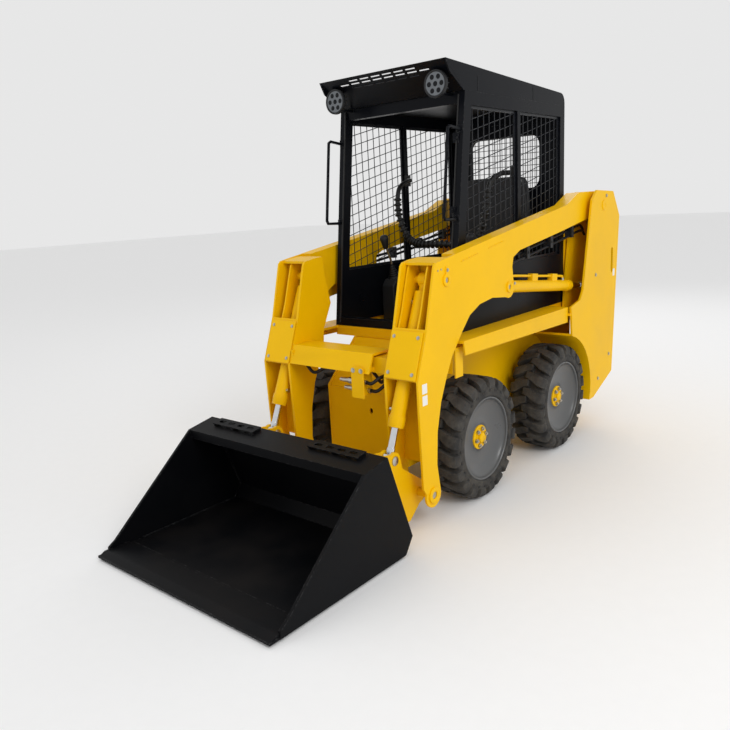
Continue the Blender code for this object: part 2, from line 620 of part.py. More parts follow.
for side_name, side in SIDES:
    x = side * LIGHT_X
    z = LIGHT_Z
    lamp = rod((x, LIGHT_FRONT_Y, z), (x, LIGHT_FRONT_Y + 0.018, z), LIGHT_RADIUS)
    fuse(lamp, rod((x, LIGHT_FRONT_Y + 0.016, z), (x, LIGHT_FRONT_Y + 0.042, z), LIGHT_RADIUS * 0.65))
    stem_z = z - 0.036
    stem_end_y = CAB_HEADER_Y + 0.006 - TOUCH_GAP
    fuse(lamp, rod((x, LIGHT_FRONT_Y + 0.030, stem_z), (x, stem_end_y, stem_z), 0.006, 12))
    part(lamp, f"work_light_{side_name}", "lens", machine)

# ---------------------------------------------------------------- operator's seat and controls
SEAT_HALF_WIDTH = 0.220
SEAT_BOX_TOP_Z = 0.960
SEAT_TOP_Z = 1.070
SEAT_FRONT_Y = 0.020
BACKREST_TOP_Z = 1.520
CONSOLE_X = 0.270
CONSOLE_HALF_WIDTH = 0.045
CONSOLE_TOP_Z = 1.000
LEVER_TOP_Z = 1.160
seat_base = box((-0.200, 0.060, DECK_TOP_Z + TOUCH_GAP), (0.200, 0.560, SEAT_BOX_TOP_Z))
part(seat_base, "seat_box", "black", machine)
seat_low_z = SEAT_BOX_TOP_Z + TOUCH_GAP
seat = box((-SEAT_HALF_WIDTH, SEAT_FRONT_Y, seat_low_z), (SEAT_HALF_WIDTH, 0.480, SEAT_TOP_Z))
back_outline = [(0.440, seat_low_z + 0.005), (0.560, seat_low_z + 0.005), (0.610, BACKREST_TOP_Z),
                (0.540, BACKREST_TOP_Z)]
fuse(seat, plate_x(back_outline, -SEAT_HALF_WIDTH, SEAT_HALF_WIDTH))
part(seat, "seat", "vinyl", machine)
for side_name, side in SIDES:
    x = side * CONSOLE_X
    console = box((x - CONSOLE_HALF_WIDTH, -0.150, DECK_TOP_Z + TOUCH_GAP),
                  (x + CONSOLE_HALF_WIDTH, 0.420, CONSOLE_TOP_Z))
    stick = rod((x, -0.100, CONSOLE_TOP_Z - 0.010), (x, -0.150, LEVER_TOP_Z), 0.009, 12)
    knob = rod((x, -0.145, LEVER_TOP_Z - 0.010), (x, -0.165, LEVER_TOP_Z + 0.065), 0.024)
    fuse(console, stick, knob)
    part(console, f"control_console_{side_name}", "black", machine)

# ---------------------------------------------------------------- lift arms
PIN = (LIFT_PIN_Y, LIFT_PIN_Z)
FOOT_PIN = (COUPLER_PIN_Y, COUPLER_PIN_Z)
ARM_PIVOT = (ARM_PIVOT_Y, ARM_PIVOT_Z)
ELBOW_TOP = [(-0.766, 1.124), (-0.752, 1.138), (-0.700, 1.147)]
ARM_TOP = [(0.494, 1.329), (0.640, 1.390), (0.865, 1.394)]
ARM_UNDER = [(0.773, 1.245), (0.411, 1.192), (-0.032, 1.133), (-0.098, 1.105), (-0.110, 1.060)]
LEG_REAR = [(-0.300, 0.936), (-0.412, 0.922), (-0.499, 0.885), (-0.559, 0.828), (-0.652, 0.725),
            (-0.703, 0.634), (-0.745, 0.545), (-0.778, 0.420), (-0.788, 0.275)]
LEG_FRONT = [(-0.893, 0.196), (-0.901, 0.421), (-0.907, 0.667), (-0.831, 0.873)]
FOOT_RADIUS = 0.055
COVER_BOTTOM, COVER_TOP = LEG_FRONT[2], LEG_FRONT[3]


def swing_y(z):
    """The rearmost place of the leg's inner plate at a height, so that it clears the cab as it rises."""
    return ARM_PIVOT_Y - math.sqrt(LEG_SWING_RADIUS ** 2 - (z - ARM_PIVOT_Z) ** 2)


foot = arc(FOOT_PIN, FOOT_RADIUS, 20, -200, 10)
skin = (ELBOW_TOP + ARM_TOP + arc(ARM_PIVOT, 0.078, 80, -120, 8) + ARM_UNDER
        + arc(PIN, 0.052, 30, -120, 6) + LEG_REAR + foot + LEG_FRONT)
beam_outline = ([(-0.600, 1.1625)] + ARM_TOP + arc(ARM_PIVOT, 0.078, 80, -120, 8) + ARM_UNDER[:4]
                + [(-0.200, 1.050), (-0.450, 0.990), (-0.600, 0.900)])
lug = [(-0.085, 1.110), (-0.092, 0.975)] + arc(PIN, 0.050, 0, -180, 8) + [(-0.215, 1.050)]
inner_rear = [(swing_y(z), z) for z in (1.150, 1.080, 1.000, 0.920)]
leg_plate = (ELBOW_TOP + inner_rear + [(-0.655, 0.800), (-0.665, 0.714)] + LEG_REAR[5:] + foot + LEG_FRONT)
web_edge = [(-0.645, 0.930), (-0.655, 0.800), (-0.665, 0.714)] + LEG_REAR[5:]
for side_name, side in SIDES:
    arm = plate_x(skin, *sided(side, ARM_OUTER_X - ARM_SKIN, ARM_OUTER_X))
    fuse(arm, plate_x(beam_outline, *sided(side, ARM_INNER_X, ARM_OUTER_X - 0.003)))
    fuse(arm, plate_x(lug, *sided(side, ARM_INNER_X + 0.001, ARM_INNER_X + 0.010)))
    fuse(arm, plate_x(leg_plate, *sided(side, LEG_INNER_X, LEG_INNER_X + PLATE)))
    across = sided(side, LEG_INNER_X + 0.003, ARM_OUTER_X - 0.003)
    fuse(arm, plate_x(strip(web_edge, -PLATE), *across))
    top_edge = [(-0.740, 1.138), (-0.700, 1.145), (swing_y(1.152), 1.152)]
    fuse(arm, plate_x(strip(top_edge, -PLATE), *across))
    fuse(arm, plate_x(strip([COVER_BOTTOM, COVER_TOP], -PLATE), *across))
    fuse(arm, plate_x([(-0.645, 1.140), (-0.633, 1.140), (-0.633, 0.960), (-0.645, 0.960)], *across))
    for (y, z), radius in (((TILT_PIN_Y, TILT_PIN_Z), CYLINDER_PIN_RADIUS), (FOOT_PIN, PIVOT_PIN_RADIUS)):
        ends = sided(side, LEG_INNER_X + 0.002, ARM_OUTER_X - 0.002)
        fuse(arm, rod((ends[0], y, z), (ends[1], y, z), radius))
    ends = sided(side, ARM_INNER_X + 0.003, ARM_OUTER_X - 0.002)
    fuse(arm, rod((ends[0], LIFT_PIN_Y, LIFT_PIN_Z), (ends[1], LIFT_PIN_Y, LIFT_PIN_Z), CYLINDER_PIN_RADIUS))
    ends = sided(side, ARM_INNER_X - OVERSHOOT, ARM_OUTER_X + OVERSHOOT)
    cut(arm, rod((ends[0], ARM_PIVOT_Y, ARM_PIVOT_Z), (ends[1], ARM_PIVOT_Y, ARM_PIVOT_Z),
                 PIVOT_PIN_RADIUS + PIN_CLEARANCE))
    part(arm, f"lift_arm_{side_name}", "yellow", lift_pivot)

beam_reach = LEG_INNER_X - TOUCH_GAP
beam = box((-beam_reach, -0.852, 0.668), (beam_reach, -0.762, 0.738))
cover = [(-0.905, 0.672), (-0.872, 0.757), (-0.752, 0.757), (-0.752, 0.720), (-0.768, 0.720), (-0.768, 0.745),
         (-0.864, 0.745), (-0.894, 0.672)]
COVER_END_X = 0.200
fuse(beam, plate_x(cover, -beam_reach, COVER_END_X))
fuse(beam, box((COVER_END_X - 0.090, -0.895, 0.675), (COVER_END_X - 0.010, -0.850, 0.695)))
fuse(beam, box((-beam_reach, -0.893, 0.676), (-beam_reach + 0.012, -0.850, 0.735)))
part(beam, "cross_beam", "yellow", lift_pivot)

bracket = box((0.105, -0.912, 0.560), (0.175, -0.9063, 0.700))
fuse(bracket, box((0.150, -0.910, 0.560), (0.156, -0.830, 0.667)))
for y, z in ((-0.885, 0.628), (-0.858, 0.585)):
    fuse(bracket, rod((0.020, y, z), (0.170, y, z), 0.014, 16))
part(bracket, "quick_coupler_bracket", "yellow", lift_pivot)

# ---------------------------------------------------------------- cylinders


def cylinder(name, side_name, x, pin, foot, radius, length, rod_radius, stroke, tucked, finish, parent):
    """A barrel that hangs on its pin, and the rod that slides out of it towards the foot."""
    start, end = Vector((x, *pin)), Vector((x, *foot))
    along = (end - start).normalized()
    half_eye = Vector((EYE_WIDTH / 2, 0, 0))
    hang_pivot = pivot(f"{name}_barrel_{side_name}_pivot", *pin, x=x, parent=parent)
    barrel = rod(start + along * 0.058, start + along * length, radius)
    fuse(barrel, rod(start + along * 0.022, start + along * 0.062, EYE_WIDTH / 2 + 0.0005))
    fuse(barrel, rod(start - half_eye, start + half_eye, 0.032))
    cut(barrel, rod(start - half_eye * 1.5, start + half_eye * 1.5, CYLINDER_PIN_RADIUS + PIN_CLEARANCE))
    inner_end = length - stroke - ROD_LEFT_INSIDE
    cut(barrel, rod(start + along * (inner_end - tucked - 0.010), start + along * (length + OVERSHOOT),
                    rod_radius + PIN_CLEARANCE))
    part(barrel, f"{name}_barrel_{side_name}", finish, hang_pivot)
    slide_pivot = pivot(f"{name}_rod_{side_name}_pivot", *foot, x=x, parent=hang_pivot)
    bar = rod(start + along * inner_end, end - along * 0.012, rod_radius)
    fuse(bar, rod(end - half_eye, end + half_eye, 0.030))
    fuse(bar, rod(end - along * 0.050, end - along * 0.010, EYE_WIDTH / 2 + 0.0005))
    part(bar, f"{name}_rod_{side_name}", "steel", slide_pivot)


for side_name, side in SIDES:
    cylinder("lift", side_name, side * LIFT_X, PIN, (LIFT_FOOT_Y, LIFT_FOOT_Z), LIFT_BARREL_RADIUS,
             LIFT_BARREL_LENGTH, LIFT_ROD_RADIUS, LIFT_STROKE, 0.0, "yellow", lift_pivot)
    cylinder("tilt", side_name, side * TILT_X, (TILT_PIN_Y, TILT_PIN_Z), (TILT_FOOT_Y, TILT_FOOT_Z),
             TILT_BARREL_RADIUS, TILT_BARREL_LENGTH, TILT_ROD_RADIUS, TILT_STROKE, TILT_TUCK, "yellow",
             lift_pivot)

# ---------------------------------------------------------------- bucket and its coupler
BUCKET_BACK_LOW = (-1.068, 0.076)
BUCKET_BACK_TOP = (-1.204, 0.452)
BUCKET_TOP_FRONT = (-1.341, 0.427)
wrapper = strip([(BUCKET_TIP_Y, BUCKET_FLOOR_Z), (BUCKET_HEEL_Y, BUCKET_FLOOR_Z), BUCKET_BACK_LOW,
                 BUCKET_BACK_TOP, BUCKET_TOP_FRONT, (-1.335, 0.385)], BUCKET_PLATE)
bucket = plate_x(wrapper, -BUCKET_HALF_WIDTH + 0.002, BUCKET_HALF_WIDTH - 0.002)
side_plate = [(BUCKET_TIP_Y + 0.045, BUCKET_FLOOR_Z + 0.0005),
              (BUCKET_HEEL_Y - 0.002, BUCKET_FLOOR_Z + 0.0005),
              (BUCKET_BACK_LOW[0] - 0.001, BUCKET_BACK_LOW[1]),
              (BUCKET_BACK_TOP[0] - 0.0005, BUCKET_BACK_TOP[1] - 0.0005),
              (BUCKET_TOP_FRONT[0], BUCKET_TOP_FRONT[1] - 0.0005), (-1.771, 0.058), (-1.804, 0.038)]
for side in (1, -1):
    fuse(bucket, plate_x(side_plate, *sided(side, BUCKET_HALF_WIDTH - 0.012, BUCKET_HALF_WIDTH)))
edge_bar = [(BUCKET_TIP_Y + 0.002, BUCKET_FLOOR_Z + 0.006), (BUCKET_TIP_Y + 0.150, BUCKET_FLOOR_Z + 0.006),
            (BUCKET_TIP_Y + 0.140, BUCKET_FLOOR_Z + 0.020), (BUCKET_TIP_Y + 0.030, BUCKET_FLOOR_Z + 0.020)]
fuse(bucket, plate_x(edge_bar, -BUCKET_HALF_WIDTH + 0.004, BUCKET_HALF_WIDTH - 0.004))
part(bucket, "bucket", "black", bucket_pivot)

back_run = (Vector(BUCKET_BACK_TOP) - Vector(BUCKET_BACK_LOW)).normalized()


def behind(distance, along):
    """A place behind the bucket's back: so far from it, and so far up it."""
    return (BUCKET_BACK_LOW[0] + back_run.x * along + back_run.y * distance,
            BUCKET_BACK_LOW[1] + back_run.y * along - back_run.x * distance)


COUPLER_PLATE = 0.014
gap = TOUCH_GAP
coupler_outline = [behind(gap, 0.010), behind(gap, 0.370), behind(gap + COUPLER_PLATE, 0.370),
                   behind(gap + COUPLER_PLATE, 0.010)]
coupler = plate_x(coupler_outline, -COUPLER_HALF_WIDTH, COUPLER_HALF_WIDTH)
window = [behind(-0.020, 0.090), behind(-0.020, 0.290), behind(0.060, 0.290), behind(0.060, 0.090)]
cut(coupler, plate_x(window, -0.240, 0.240))
FOOT_EYE = (TILT_FOOT_Y, TILT_FOOT_Z)
ear = (arc(FOOT_PIN, 0.052, 50, -90, 6)
       + [(-0.896, 0.035), (-1.020, 0.045), behind(0.004, 0.040), behind(0.004, 0.340)]
       + arc(FOOT_EYE, 0.036, 120, 20, 4) + [(-0.935, 0.290)])
for side in (1, -1):
    for offset in (-COUPLER_EAR_GAP / 2 - PLATE / 2, COUPLER_EAR_GAP / 2 + PLATE / 2):
        x = side * (TILT_X + offset)
        fuse(coupler, plate_x(ear, x - PLATE / 2, x + PLATE / 2))
    x = side * TILT_X
    cut(coupler, rod((x - 0.080, *FOOT_PIN), (x + 0.080, *FOOT_PIN), PIVOT_PIN_RADIUS + PIN_CLEARANCE))
part(coupler, "coupler_frame", "yellow", bucket_pivot)
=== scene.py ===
"""Finished looks of a skid steer loader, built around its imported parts.

Metres, +Z up. The loader faces -Y and +X is the operator's left. Places are measured from
the middle of the wheelbase, as in the part's own source, and spot() moves them to the frame.
"""

import json
import math

import bmesh
import bpy
from mathutils import Matrix, Vector

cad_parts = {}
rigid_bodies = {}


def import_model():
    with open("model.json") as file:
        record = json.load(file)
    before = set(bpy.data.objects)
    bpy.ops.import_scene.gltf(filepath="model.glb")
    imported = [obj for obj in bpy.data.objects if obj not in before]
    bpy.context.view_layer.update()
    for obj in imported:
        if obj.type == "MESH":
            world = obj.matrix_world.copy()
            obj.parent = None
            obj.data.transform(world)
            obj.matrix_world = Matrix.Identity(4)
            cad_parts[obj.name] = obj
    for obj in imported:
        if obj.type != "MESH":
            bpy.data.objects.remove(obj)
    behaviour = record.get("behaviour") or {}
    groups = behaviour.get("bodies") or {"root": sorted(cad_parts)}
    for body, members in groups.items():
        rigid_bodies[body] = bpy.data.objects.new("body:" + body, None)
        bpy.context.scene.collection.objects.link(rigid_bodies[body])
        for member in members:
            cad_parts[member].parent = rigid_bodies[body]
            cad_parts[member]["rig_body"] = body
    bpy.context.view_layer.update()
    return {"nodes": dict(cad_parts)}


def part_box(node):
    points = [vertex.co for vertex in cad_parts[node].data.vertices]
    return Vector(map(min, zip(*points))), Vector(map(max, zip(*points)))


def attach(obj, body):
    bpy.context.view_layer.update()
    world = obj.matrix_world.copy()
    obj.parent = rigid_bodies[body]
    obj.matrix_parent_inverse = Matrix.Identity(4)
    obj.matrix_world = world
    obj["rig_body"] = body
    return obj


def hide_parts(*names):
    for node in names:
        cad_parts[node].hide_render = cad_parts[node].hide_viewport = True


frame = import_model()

bl_info = {
    "name": "Skid Steer Loader Looks",
    "version": (1, 0, 0),
    "blender": (4, 5, 0),
    "location": "View3D > Sidebar > Loader",
    "description": "Paint, rubber, glass and small parts around the packed loader",
    "category": "Object",
}

SIDES = (("left", 1), ("right", -1))
WHEELS = ("front_left", "front_right", "rear_left", "rear_right")
MIDDLE_Y = (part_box("axle_front")[0].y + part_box("axle_rear")[1].y) / 2
ARM_OUTER_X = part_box("lift_arm_left")[1].x
LEG_INNER_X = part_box("lift_arm_left")[0].x
TOWER_OUTER_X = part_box("tower_left")[1].x
CAB_HALF_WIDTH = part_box("cab_roof")[1].x
BUCKET_HALF_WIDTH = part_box("bucket")[1].x
ARM_PIVOT = (0.905, 1.313)
LIFT_PIN = (-0.144, 0.967)
TILT_PIN = (-0.680, 1.060)
COUPLER_PIN = (-0.821, 0.147)
LIFT_FOOT, TILT_FOOT = (0.800, 0.865), (-0.985, 0.340)   # where the rods' eyes are pinned
LIFT_X, TILT_X = 0.420, 0.355
LIFT_BARREL = (0.760, 0.030)                     # a barrel's length and radius
TILT_BARREL = (0.645, 0.033)
GLAND_BORE = 0.0174
GLAND_LENGTH = 0.050
GRILLE_ROWS, GRILLE_LOW_Z, GRILLE_PITCH = 7, 0.86, 0.038
DOOR_SCREEN_PITCH = 0.0121
VISOR_COLUMNS, VISOR_COLUMN_PITCH, VISOR_ROW_PITCH = 8, 0.066, 0.019
WIRE_SLOPE = 0.24                                # rise of the cab screens' long wires toward the rear
LAMP_FINS, LAMP_OUTER_CELLS = 14, 6
WELD_BEADS, WELD_BEAD_RADIUS = 26, 0.0035
LINE_RADIUS, HOSE_RADIUS = 0.0072, 0.008
STEP_X, STEP_HOLES, STEP_HOLE_PITCH = 0.300, 4, 0.062
WALL_HOLES, WALL_HOLE_RING = 26, 0.228
WHEEL_NUTS, WHEEL_NUT_RING, WHEEL_NUT_TURN = 6, 0.041, 0.2
TREAD_SHOULDER_SPREAD = 1.18                     # a lug's foot against its top
FLOOR_SIZE = 40.0
VISOR_TIP, VISOR_FOOT = (-0.492, 1.971), (-0.352, 1.853)
KEY_POWER, BACK_POWER, SKY_STRENGTH = 130.0, 50.0, 0.80
CAMERA_PLACE = (2.121, -2.815, 1.382)
CAMERA_TURN = (40.551, -12.653, -3.115)          # yaw, pitch and roll in degrees
CAMERA_LENS, SENSOR_WIDTH = 34.94, 36.0
CAB_FRONT = ((-0.483, 0.747), (-0.344, 1.853))   # the front posts' front edge, low and high
WINDOW_LOW_Z, WINDOW_TOP_Z = 1.060, 1.795
# A finish and a slot name, for piece(), recast() and dress().
YELLOW = ("yellow_powder_coat", "yellow_paint")
BLACK = ("black_powder_coat", "black_paint")
BUCKET = ("bucket_enamel", "black_paint")
HOSE = ("hose_cover", "black_plastic")
PLASTIC = ("black_abs", "black_plastic")
WIRE = ("wire_enamel", "black_paint")
PINS = ("zinc_plate", "rod_chrome")
FINE = 0.0008                                    # the fold or cut edge of a painted plate


def linear(code):
    """A linear colour from its sRGB hex code."""
    parts = [int(code[i:i + 2], 16) / 255 for i in (1, 3, 5)]
    return tuple(c / 12.92 if c <= 0.04045 else ((c + 0.055) / 1.055) ** 2.4 for c in parts)


def spot(x, y, z):
    """A place in the frame from one measured from the middle of the wheelbase."""
    return Vector((x, y + MIDDLE_Y, z))


# ---------------------------------------------------------------- settings
class LoaderColours(bpy.types.PropertyGroup):
    """Paint and material colours that a user would change."""

    yellow: bpy.props.FloatVectorProperty(name="Yellow paint", description="Powder coat of arms and body",
                                          subtype="COLOR", size=3, min=0, max=1, default=linear("#F4BE00"))
    cab_black: bpy.props.FloatVectorProperty(name="Cab black", description="Powder coat of the cab",
                                             subtype="COLOR", size=3, min=0, max=1, default=linear("#0B0D12"))
    bucket_black: bpy.props.FloatVectorProperty(name="Bucket black", description="Enamel of the bucket",
                                                subtype="COLOR", size=3, min=0, max=1,
                                                default=linear("#08090C"))
    rim_grey: bpy.props.FloatVectorProperty(name="Rim grey", description="Enamel of the wheel rims",
                                            subtype="COLOR", size=3, min=0, max=1, default=linear("#565758"))
    rubber: bpy.props.FloatVectorProperty(name="Rubber", description="Tyre rubber with a little dust",
                                          subtype="COLOR", size=3, min=0, max=1, default=linear("#262524"))


class LoaderSizes(bpy.types.PropertyGroup):
    """Sizes of the fine pieces that a user would change."""

    wire_pitch: bpy.props.FloatProperty(name="Wire pitch", description="Between two wires of a cab screen",
                                        unit="LENGTH", min=0.02, default=0.050)
    wire_radius: bpy.props.FloatProperty(name="Wire radius", description="Of the cab screens' wires",
                                         unit="LENGTH", min=0.001, default=0.0022)
    lug_count: bpy.props.IntProperty(name="Lugs", description="Tread lugs on each side of a tyre",
                                     min=8, default=20)
    lug_height: bpy.props.FloatProperty(name="Lug height", description="Of a tread lug above the carcass",
                                        unit="LENGTH", min=0.005, default=0.030)


# ---------------------------------------------------------------- materials
def node(tree, kind, sockets=None, **settings):
    """Adds a node with its settings, and gives each socket a value or another node's output."""
    made = tree.nodes.new("ShaderNode" + kind)
    for name, value in settings.items():
        setattr(made, name, value)
    for name, value in (sockets or {}).items():
        if isinstance(value, bpy.types.NodeSocket):
            tree.links.new(value, made.inputs[name])
        else:
            made.inputs[name].default_value = value
    return made


def blank(name, **sockets):
    """A new material with its shader, whose plain values are given by socket name."""
    made = bpy.data.materials.new(name)
    made.use_nodes = True
    shader = made.node_tree.nodes["Principled BSDF"]
    for socket, value in sockets.items():
        shader.inputs[socket.replace("_", " ")].default_value = value
    return made, made.node_tree, shader


def give(tree, shader, colour, roughness, bump):
    """Links a finished colour, roughness and bump to the shader."""
    tree.links.new(colour.outputs[2], shader.inputs["Base Color"])
    tree.links.new(roughness.outputs["Result"], shader.inputs["Roughness"])
    tree.links.new(bump.outputs["Normal"], shader.inputs["Normal"])


def coloured(colour, factor=1.0):
    return (*(min(1.0, c * factor) for c in colour), 1.0)


def painted_steel(name, colour, roughness, coat, dust, dust_share, peel_mm=2.5, specular=0.5):
    """Sheet steel with a cured paint: faint mottling, orange peel, dust on top faces, rubbed edges."""
    made, tree, shader = blank(name, IOR=1.5, Specular_IOR_Level=specular, Coat_Weight=coat,
                               Coat_Roughness=0.12)
    where = node(tree, "TexCoord").outputs["Object"]
    facing = node(tree, "NewGeometry").outputs["Normal"]
    mottle = node(tree, "TexNoise", {"Vector": where, "Scale": 3.0, "Detail": 6.0, "Roughness": 0.6})
    grit = node(tree, "TexNoise", {"Vector": where, "Scale": 60.0, "Detail": 6.0, "Roughness": 0.7})
    peel = node(tree, "TexNoise", {"Vector": where, "Scale": 1000 / peel_mm, "Detail": 1.0})
    base = node(tree, "Mix", {0: mottle.outputs["Fac"], 6: coloured(colour, 0.86), 7: coloured(colour, 1.12)},
                data_type="RGBA")
    rounded = node(tree, "Bevel", {"Radius": 0.005}, samples=4)
    turn = node(tree, "VectorMath", {0: rounded.outputs["Normal"], 1: facing}, operation="DOT_PRODUCT")
    edge = node(tree, "MapRange", {"Value": turn.outputs["Value"], "From Min": 0.985, "From Max": 0.88})
    rubbed = node(tree, "MapRange", {"Value": grit.outputs["Fac"], "From Min": 0.50, "From Max": 0.62,
                                     "To Max": 0.55})
    worn = node(tree, "Math", {0: edge.outputs["Result"], 1: rubbed.outputs["Result"]}, operation="MULTIPLY")
    upward = node(tree, "SeparateXYZ", {0: facing})
    top = node(tree, "MapRange", {"Value": upward.outputs["Z"], "From Min": 0.2, "From Max": 1.0,
                                  "To Min": 0.25, "To Max": 1.0})
    patch = node(tree, "MapRange", {"Value": mottle.outputs["Fac"], "From Min": 0.38, "From Max": 0.70,
                                    "To Max": dust_share})
    dusty = node(tree, "Math", {0: top.outputs["Result"], 1: patch.outputs["Result"]}, operation="MULTIPLY")
    with_dust = node(tree, "Mix", {0: dusty.outputs["Value"], 6: base.outputs[2], 7: coloured(dust)},
                     data_type="RGBA")
    finished = node(tree, "Mix", {0: worn.outputs["Value"], 6: with_dust.outputs[2],
                                  7: coloured([c * 0.6 + 0.10 for c in colour])}, data_type="RGBA")
    rough = node(tree, "MapRange", {"Value": mottle.outputs["Fac"], "From Min": 0.3, "From Max": 0.75,
                                    "To Min": roughness - 0.05, "To Max": roughness + 0.12})
    bump = node(tree, "Bump", {"Height": peel.outputs["Fac"], "Strength": 0.12, "Distance": 0.0004})
    give(tree, shader, finished, rough, bump)
    return made


def yellow_powder_coat(name):
    # Polyester powder coat baked on sheet steel: a deep even yellow under a soft broad gloss.
    return painted_steel(name, bpy.context.scene.loader_colours.yellow, 0.36, 0.0, linear("#C9A03A"), 0.06,
                         specular=0.14)


def black_powder_coat(name):
    # Semi-gloss powder coat on tube and sheet: near black, with a cool sheen along the folds.
    return painted_steel(name, bpy.context.scene.loader_colours.cab_black, 0.30, 0.0, linear("#1E1F22"), 0.20,
                         specular=0.10)


def bucket_enamel(name):
    # Sprayed enamel on thick plate: satin black that dust turns slightly brown.
    return painted_steel(name, bpy.context.scene.loader_colours.bucket_black, 0.48, 0.0, linear("#2B2622"),
                         0.30,
                         peel_mm=4.0, specular=0.10)


def rim_enamel(name):
    # Dipped enamel on pressed steel: mid grey with a clear highlight round the dish.
    return painted_steel(name, bpy.context.scene.loader_colours.rim_grey, 0.32, 0.15, linear("#6A675F"), 0.20)


def engine_enamel(name):
    # Brushed enamel on cast iron: dull grey with a sandy, uneven surface.
    return painted_steel(name, linear("#3A3C3E"), 0.55, 0.0, linear("#5D564A"), 0.45, peel_mm=8.0)


def tyre_rubber(name):
    # Moulded carbon-black rubber: dull, with pale dust that stays on the lugs and walls.
    made, tree, shader = blank(name, IOR=1.52, Specular_IOR_Level=0.35)
    rubber = bpy.context.scene.loader_colours.rubber
    where = node(tree, "TexCoord").outputs["Object"]
    dust = node(tree, "TexNoise", {"Vector": where, "Scale": 14.0, "Detail": 8.0, "Roughness": 0.72})
    grain = node(tree, "TexNoise", {"Vector": where, "Scale": 350.0, "Detail": 3.0})
    share = node(tree, "MapRange", {"Value": dust.outputs["Fac"], "From Min": 0.40, "From Max": 0.72,
                                    "To Max": 0.50})
    colour = node(tree, "Mix", {0: share.outputs["Result"], 6: coloured(rubber),
                                7: coloured(linear("#6B665E"))},
                  data_type="RGBA")
    rough = node(tree, "MapRange", {"Value": dust.outputs["Fac"], "To Min": 0.62, "To Max": 0.95})
    bump = node(tree, "Bump", {"Height": grain.outputs["Fac"], "Strength": 0.35, "Distance": 0.0006})
    give(tree, shader, colour, rough, bump)
    return made


def metal(name, colour, roughness, scratch_mm):
    """Bare or plated metal with fine marks and faint stains."""
    made, tree, shader = blank(name, Metallic=1.0)
    where = node(tree, "TexCoord").outputs["Object"]
    marks = node(tree, "TexNoise", {"Vector": where, "Scale": 1000 / scratch_mm, "Detail": 4.0})
    stain = node(tree, "TexNoise", {"Vector": where, "Scale": 30.0, "Detail": 4.0})
    tint = node(tree, "Mix", {0: stain.outputs["Fac"], 6: coloured(colour, 0.82), 7: coloured(colour, 1.08)},
                data_type="RGBA")
    rough = node(tree, "MapRange", {"Value": marks.outputs["Fac"], "To Min": roughness * 0.7,
                                    "To Max": roughness * 1.5})
    bump = node(tree, "Bump", {"Height": marks.outputs["Fac"], "Strength": 0.08, "Distance": 0.0002})
    give(tree, shader, tint, rough, bump)
    return made


def chromed_rod(name):
    # Hard chrome ground and polished on a steel bar: a clean mirror, only slightly smeared with oil.
    return metal(name, linear("#D9DBDD"), 0.10, 4.0)


def zinc_plate(name):
    # Bright zinc on turned fittings and bolts: pale silver with soft, broken reflections.
    return metal(name, linear("#C4C3BC"), 0.30, 3.0)


def grained(name, colour, roughness, grain_mm, strength, sheen=0.0, specular=0.4, mottle=(0.8, 1.35)):
    """A moulded or coated surface with an even fine grain, such as plastic, vinyl or hose cover."""
    made, tree, shader = blank(name, IOR=1.48, Sheen_Weight=sheen, Specular_IOR_Level=specular)
    where = node(tree, "TexCoord").outputs["Object"]
    cells = node(tree, "TexVoronoi", {"Vector": where, "Scale": 1000 / grain_mm})
    soft = node(tree, "TexNoise", {"Vector": where, "Scale": 18.0, "Detail": 5.0})
    tint = node(tree, "Mix", {0: soft.outputs["Fac"], 6: coloured(colour, mottle[0]),
                               7: coloured(colour, mottle[1])},
                data_type="RGBA")
    rough = node(tree, "MapRange", {"Value": soft.outputs["Fac"], "To Min": roughness - 0.08,
                                    "To Max": roughness + 0.12})
    bump = node(tree, "Bump", {"Height": cells.outputs["Distance"], "Strength": strength, "Distance": 0.0005})
    give(tree, shader, tint, rough, bump)
    return made


def seat_vinyl(name):
    # Vinyl-coated cloth over foam, embossed with a leather grain: soft black with a dull shine.
    return grained(name, linear("#1C1D20"), 0.52, 2.2, 0.45, sheen=0.15)


def black_abs(name):
    # Moulded ABS with a spark-eroded texture: dark and evenly matt.
    return grained(name, linear("#17181A"), 0.48, 1.6, 0.30)


def hose_cover(name):
    # Extruded rubber hose cover: black with a wrapped-cloth texture that breaks up the shine.
    return grained(name, linear("#151515"), 0.42, 2.0, 0.50)


def wire_enamel(name):
    # Dipped enamel on welded wire: glossy black that catches thin bright lines.
    return grained(name, linear("#14161B"), 0.34, 3.0, 0.08)


def lamp_reflector(name):
    # Die-cast lamp face: mid grey and finely pitted, paler than the cells set in it.
    return grained(name, linear("#63676B"), 0.45, 4.0, 0.20)


def lamp_lens(name):
    # Polycarbonate over each lamp cell, coloured near black as painted shade and dark reflection of the deep
    # cell behind a clear lens: near-black dots with a dull shine.
    return grained(name, linear("#101215"), 0.50, 5.0, 0.05, specular=0.2)


def blank_label(name):
    # Printed vinyl label left blank: flat white with a faint film gloss.
    return grained(name, linear("#E9E8E2"), 0.35, 6.0, 0.04, mottle=(0.95, 1.05))


def studio_floor(name):
    # Seamless painted studio floor: matt off-white with a trace of roller texture.
    return grained(name, linear("#F4F4F4"), 0.85, 9.0, 0.02, specular=0.1, mottle=(0.985, 1.01))


FINISHES = {f.__name__: f for f in (
    yellow_powder_coat, black_powder_coat, bucket_enamel, rim_enamel, engine_enamel, tyre_rubber, chromed_rod,
    zinc_plate, seat_vinyl, black_abs, hose_cover, wire_enamel, lamp_reflector, lamp_lens, blank_label,
    studio_floor)}


def finish(name):
    """The finish of that name, made the first time it is asked for.

    Its title differs from the parts' own plain materials, some of which share a finish's name.
    """
    title = name + "_finish"
    return bpy.data.materials.get(title) or FINISHES[name](title)


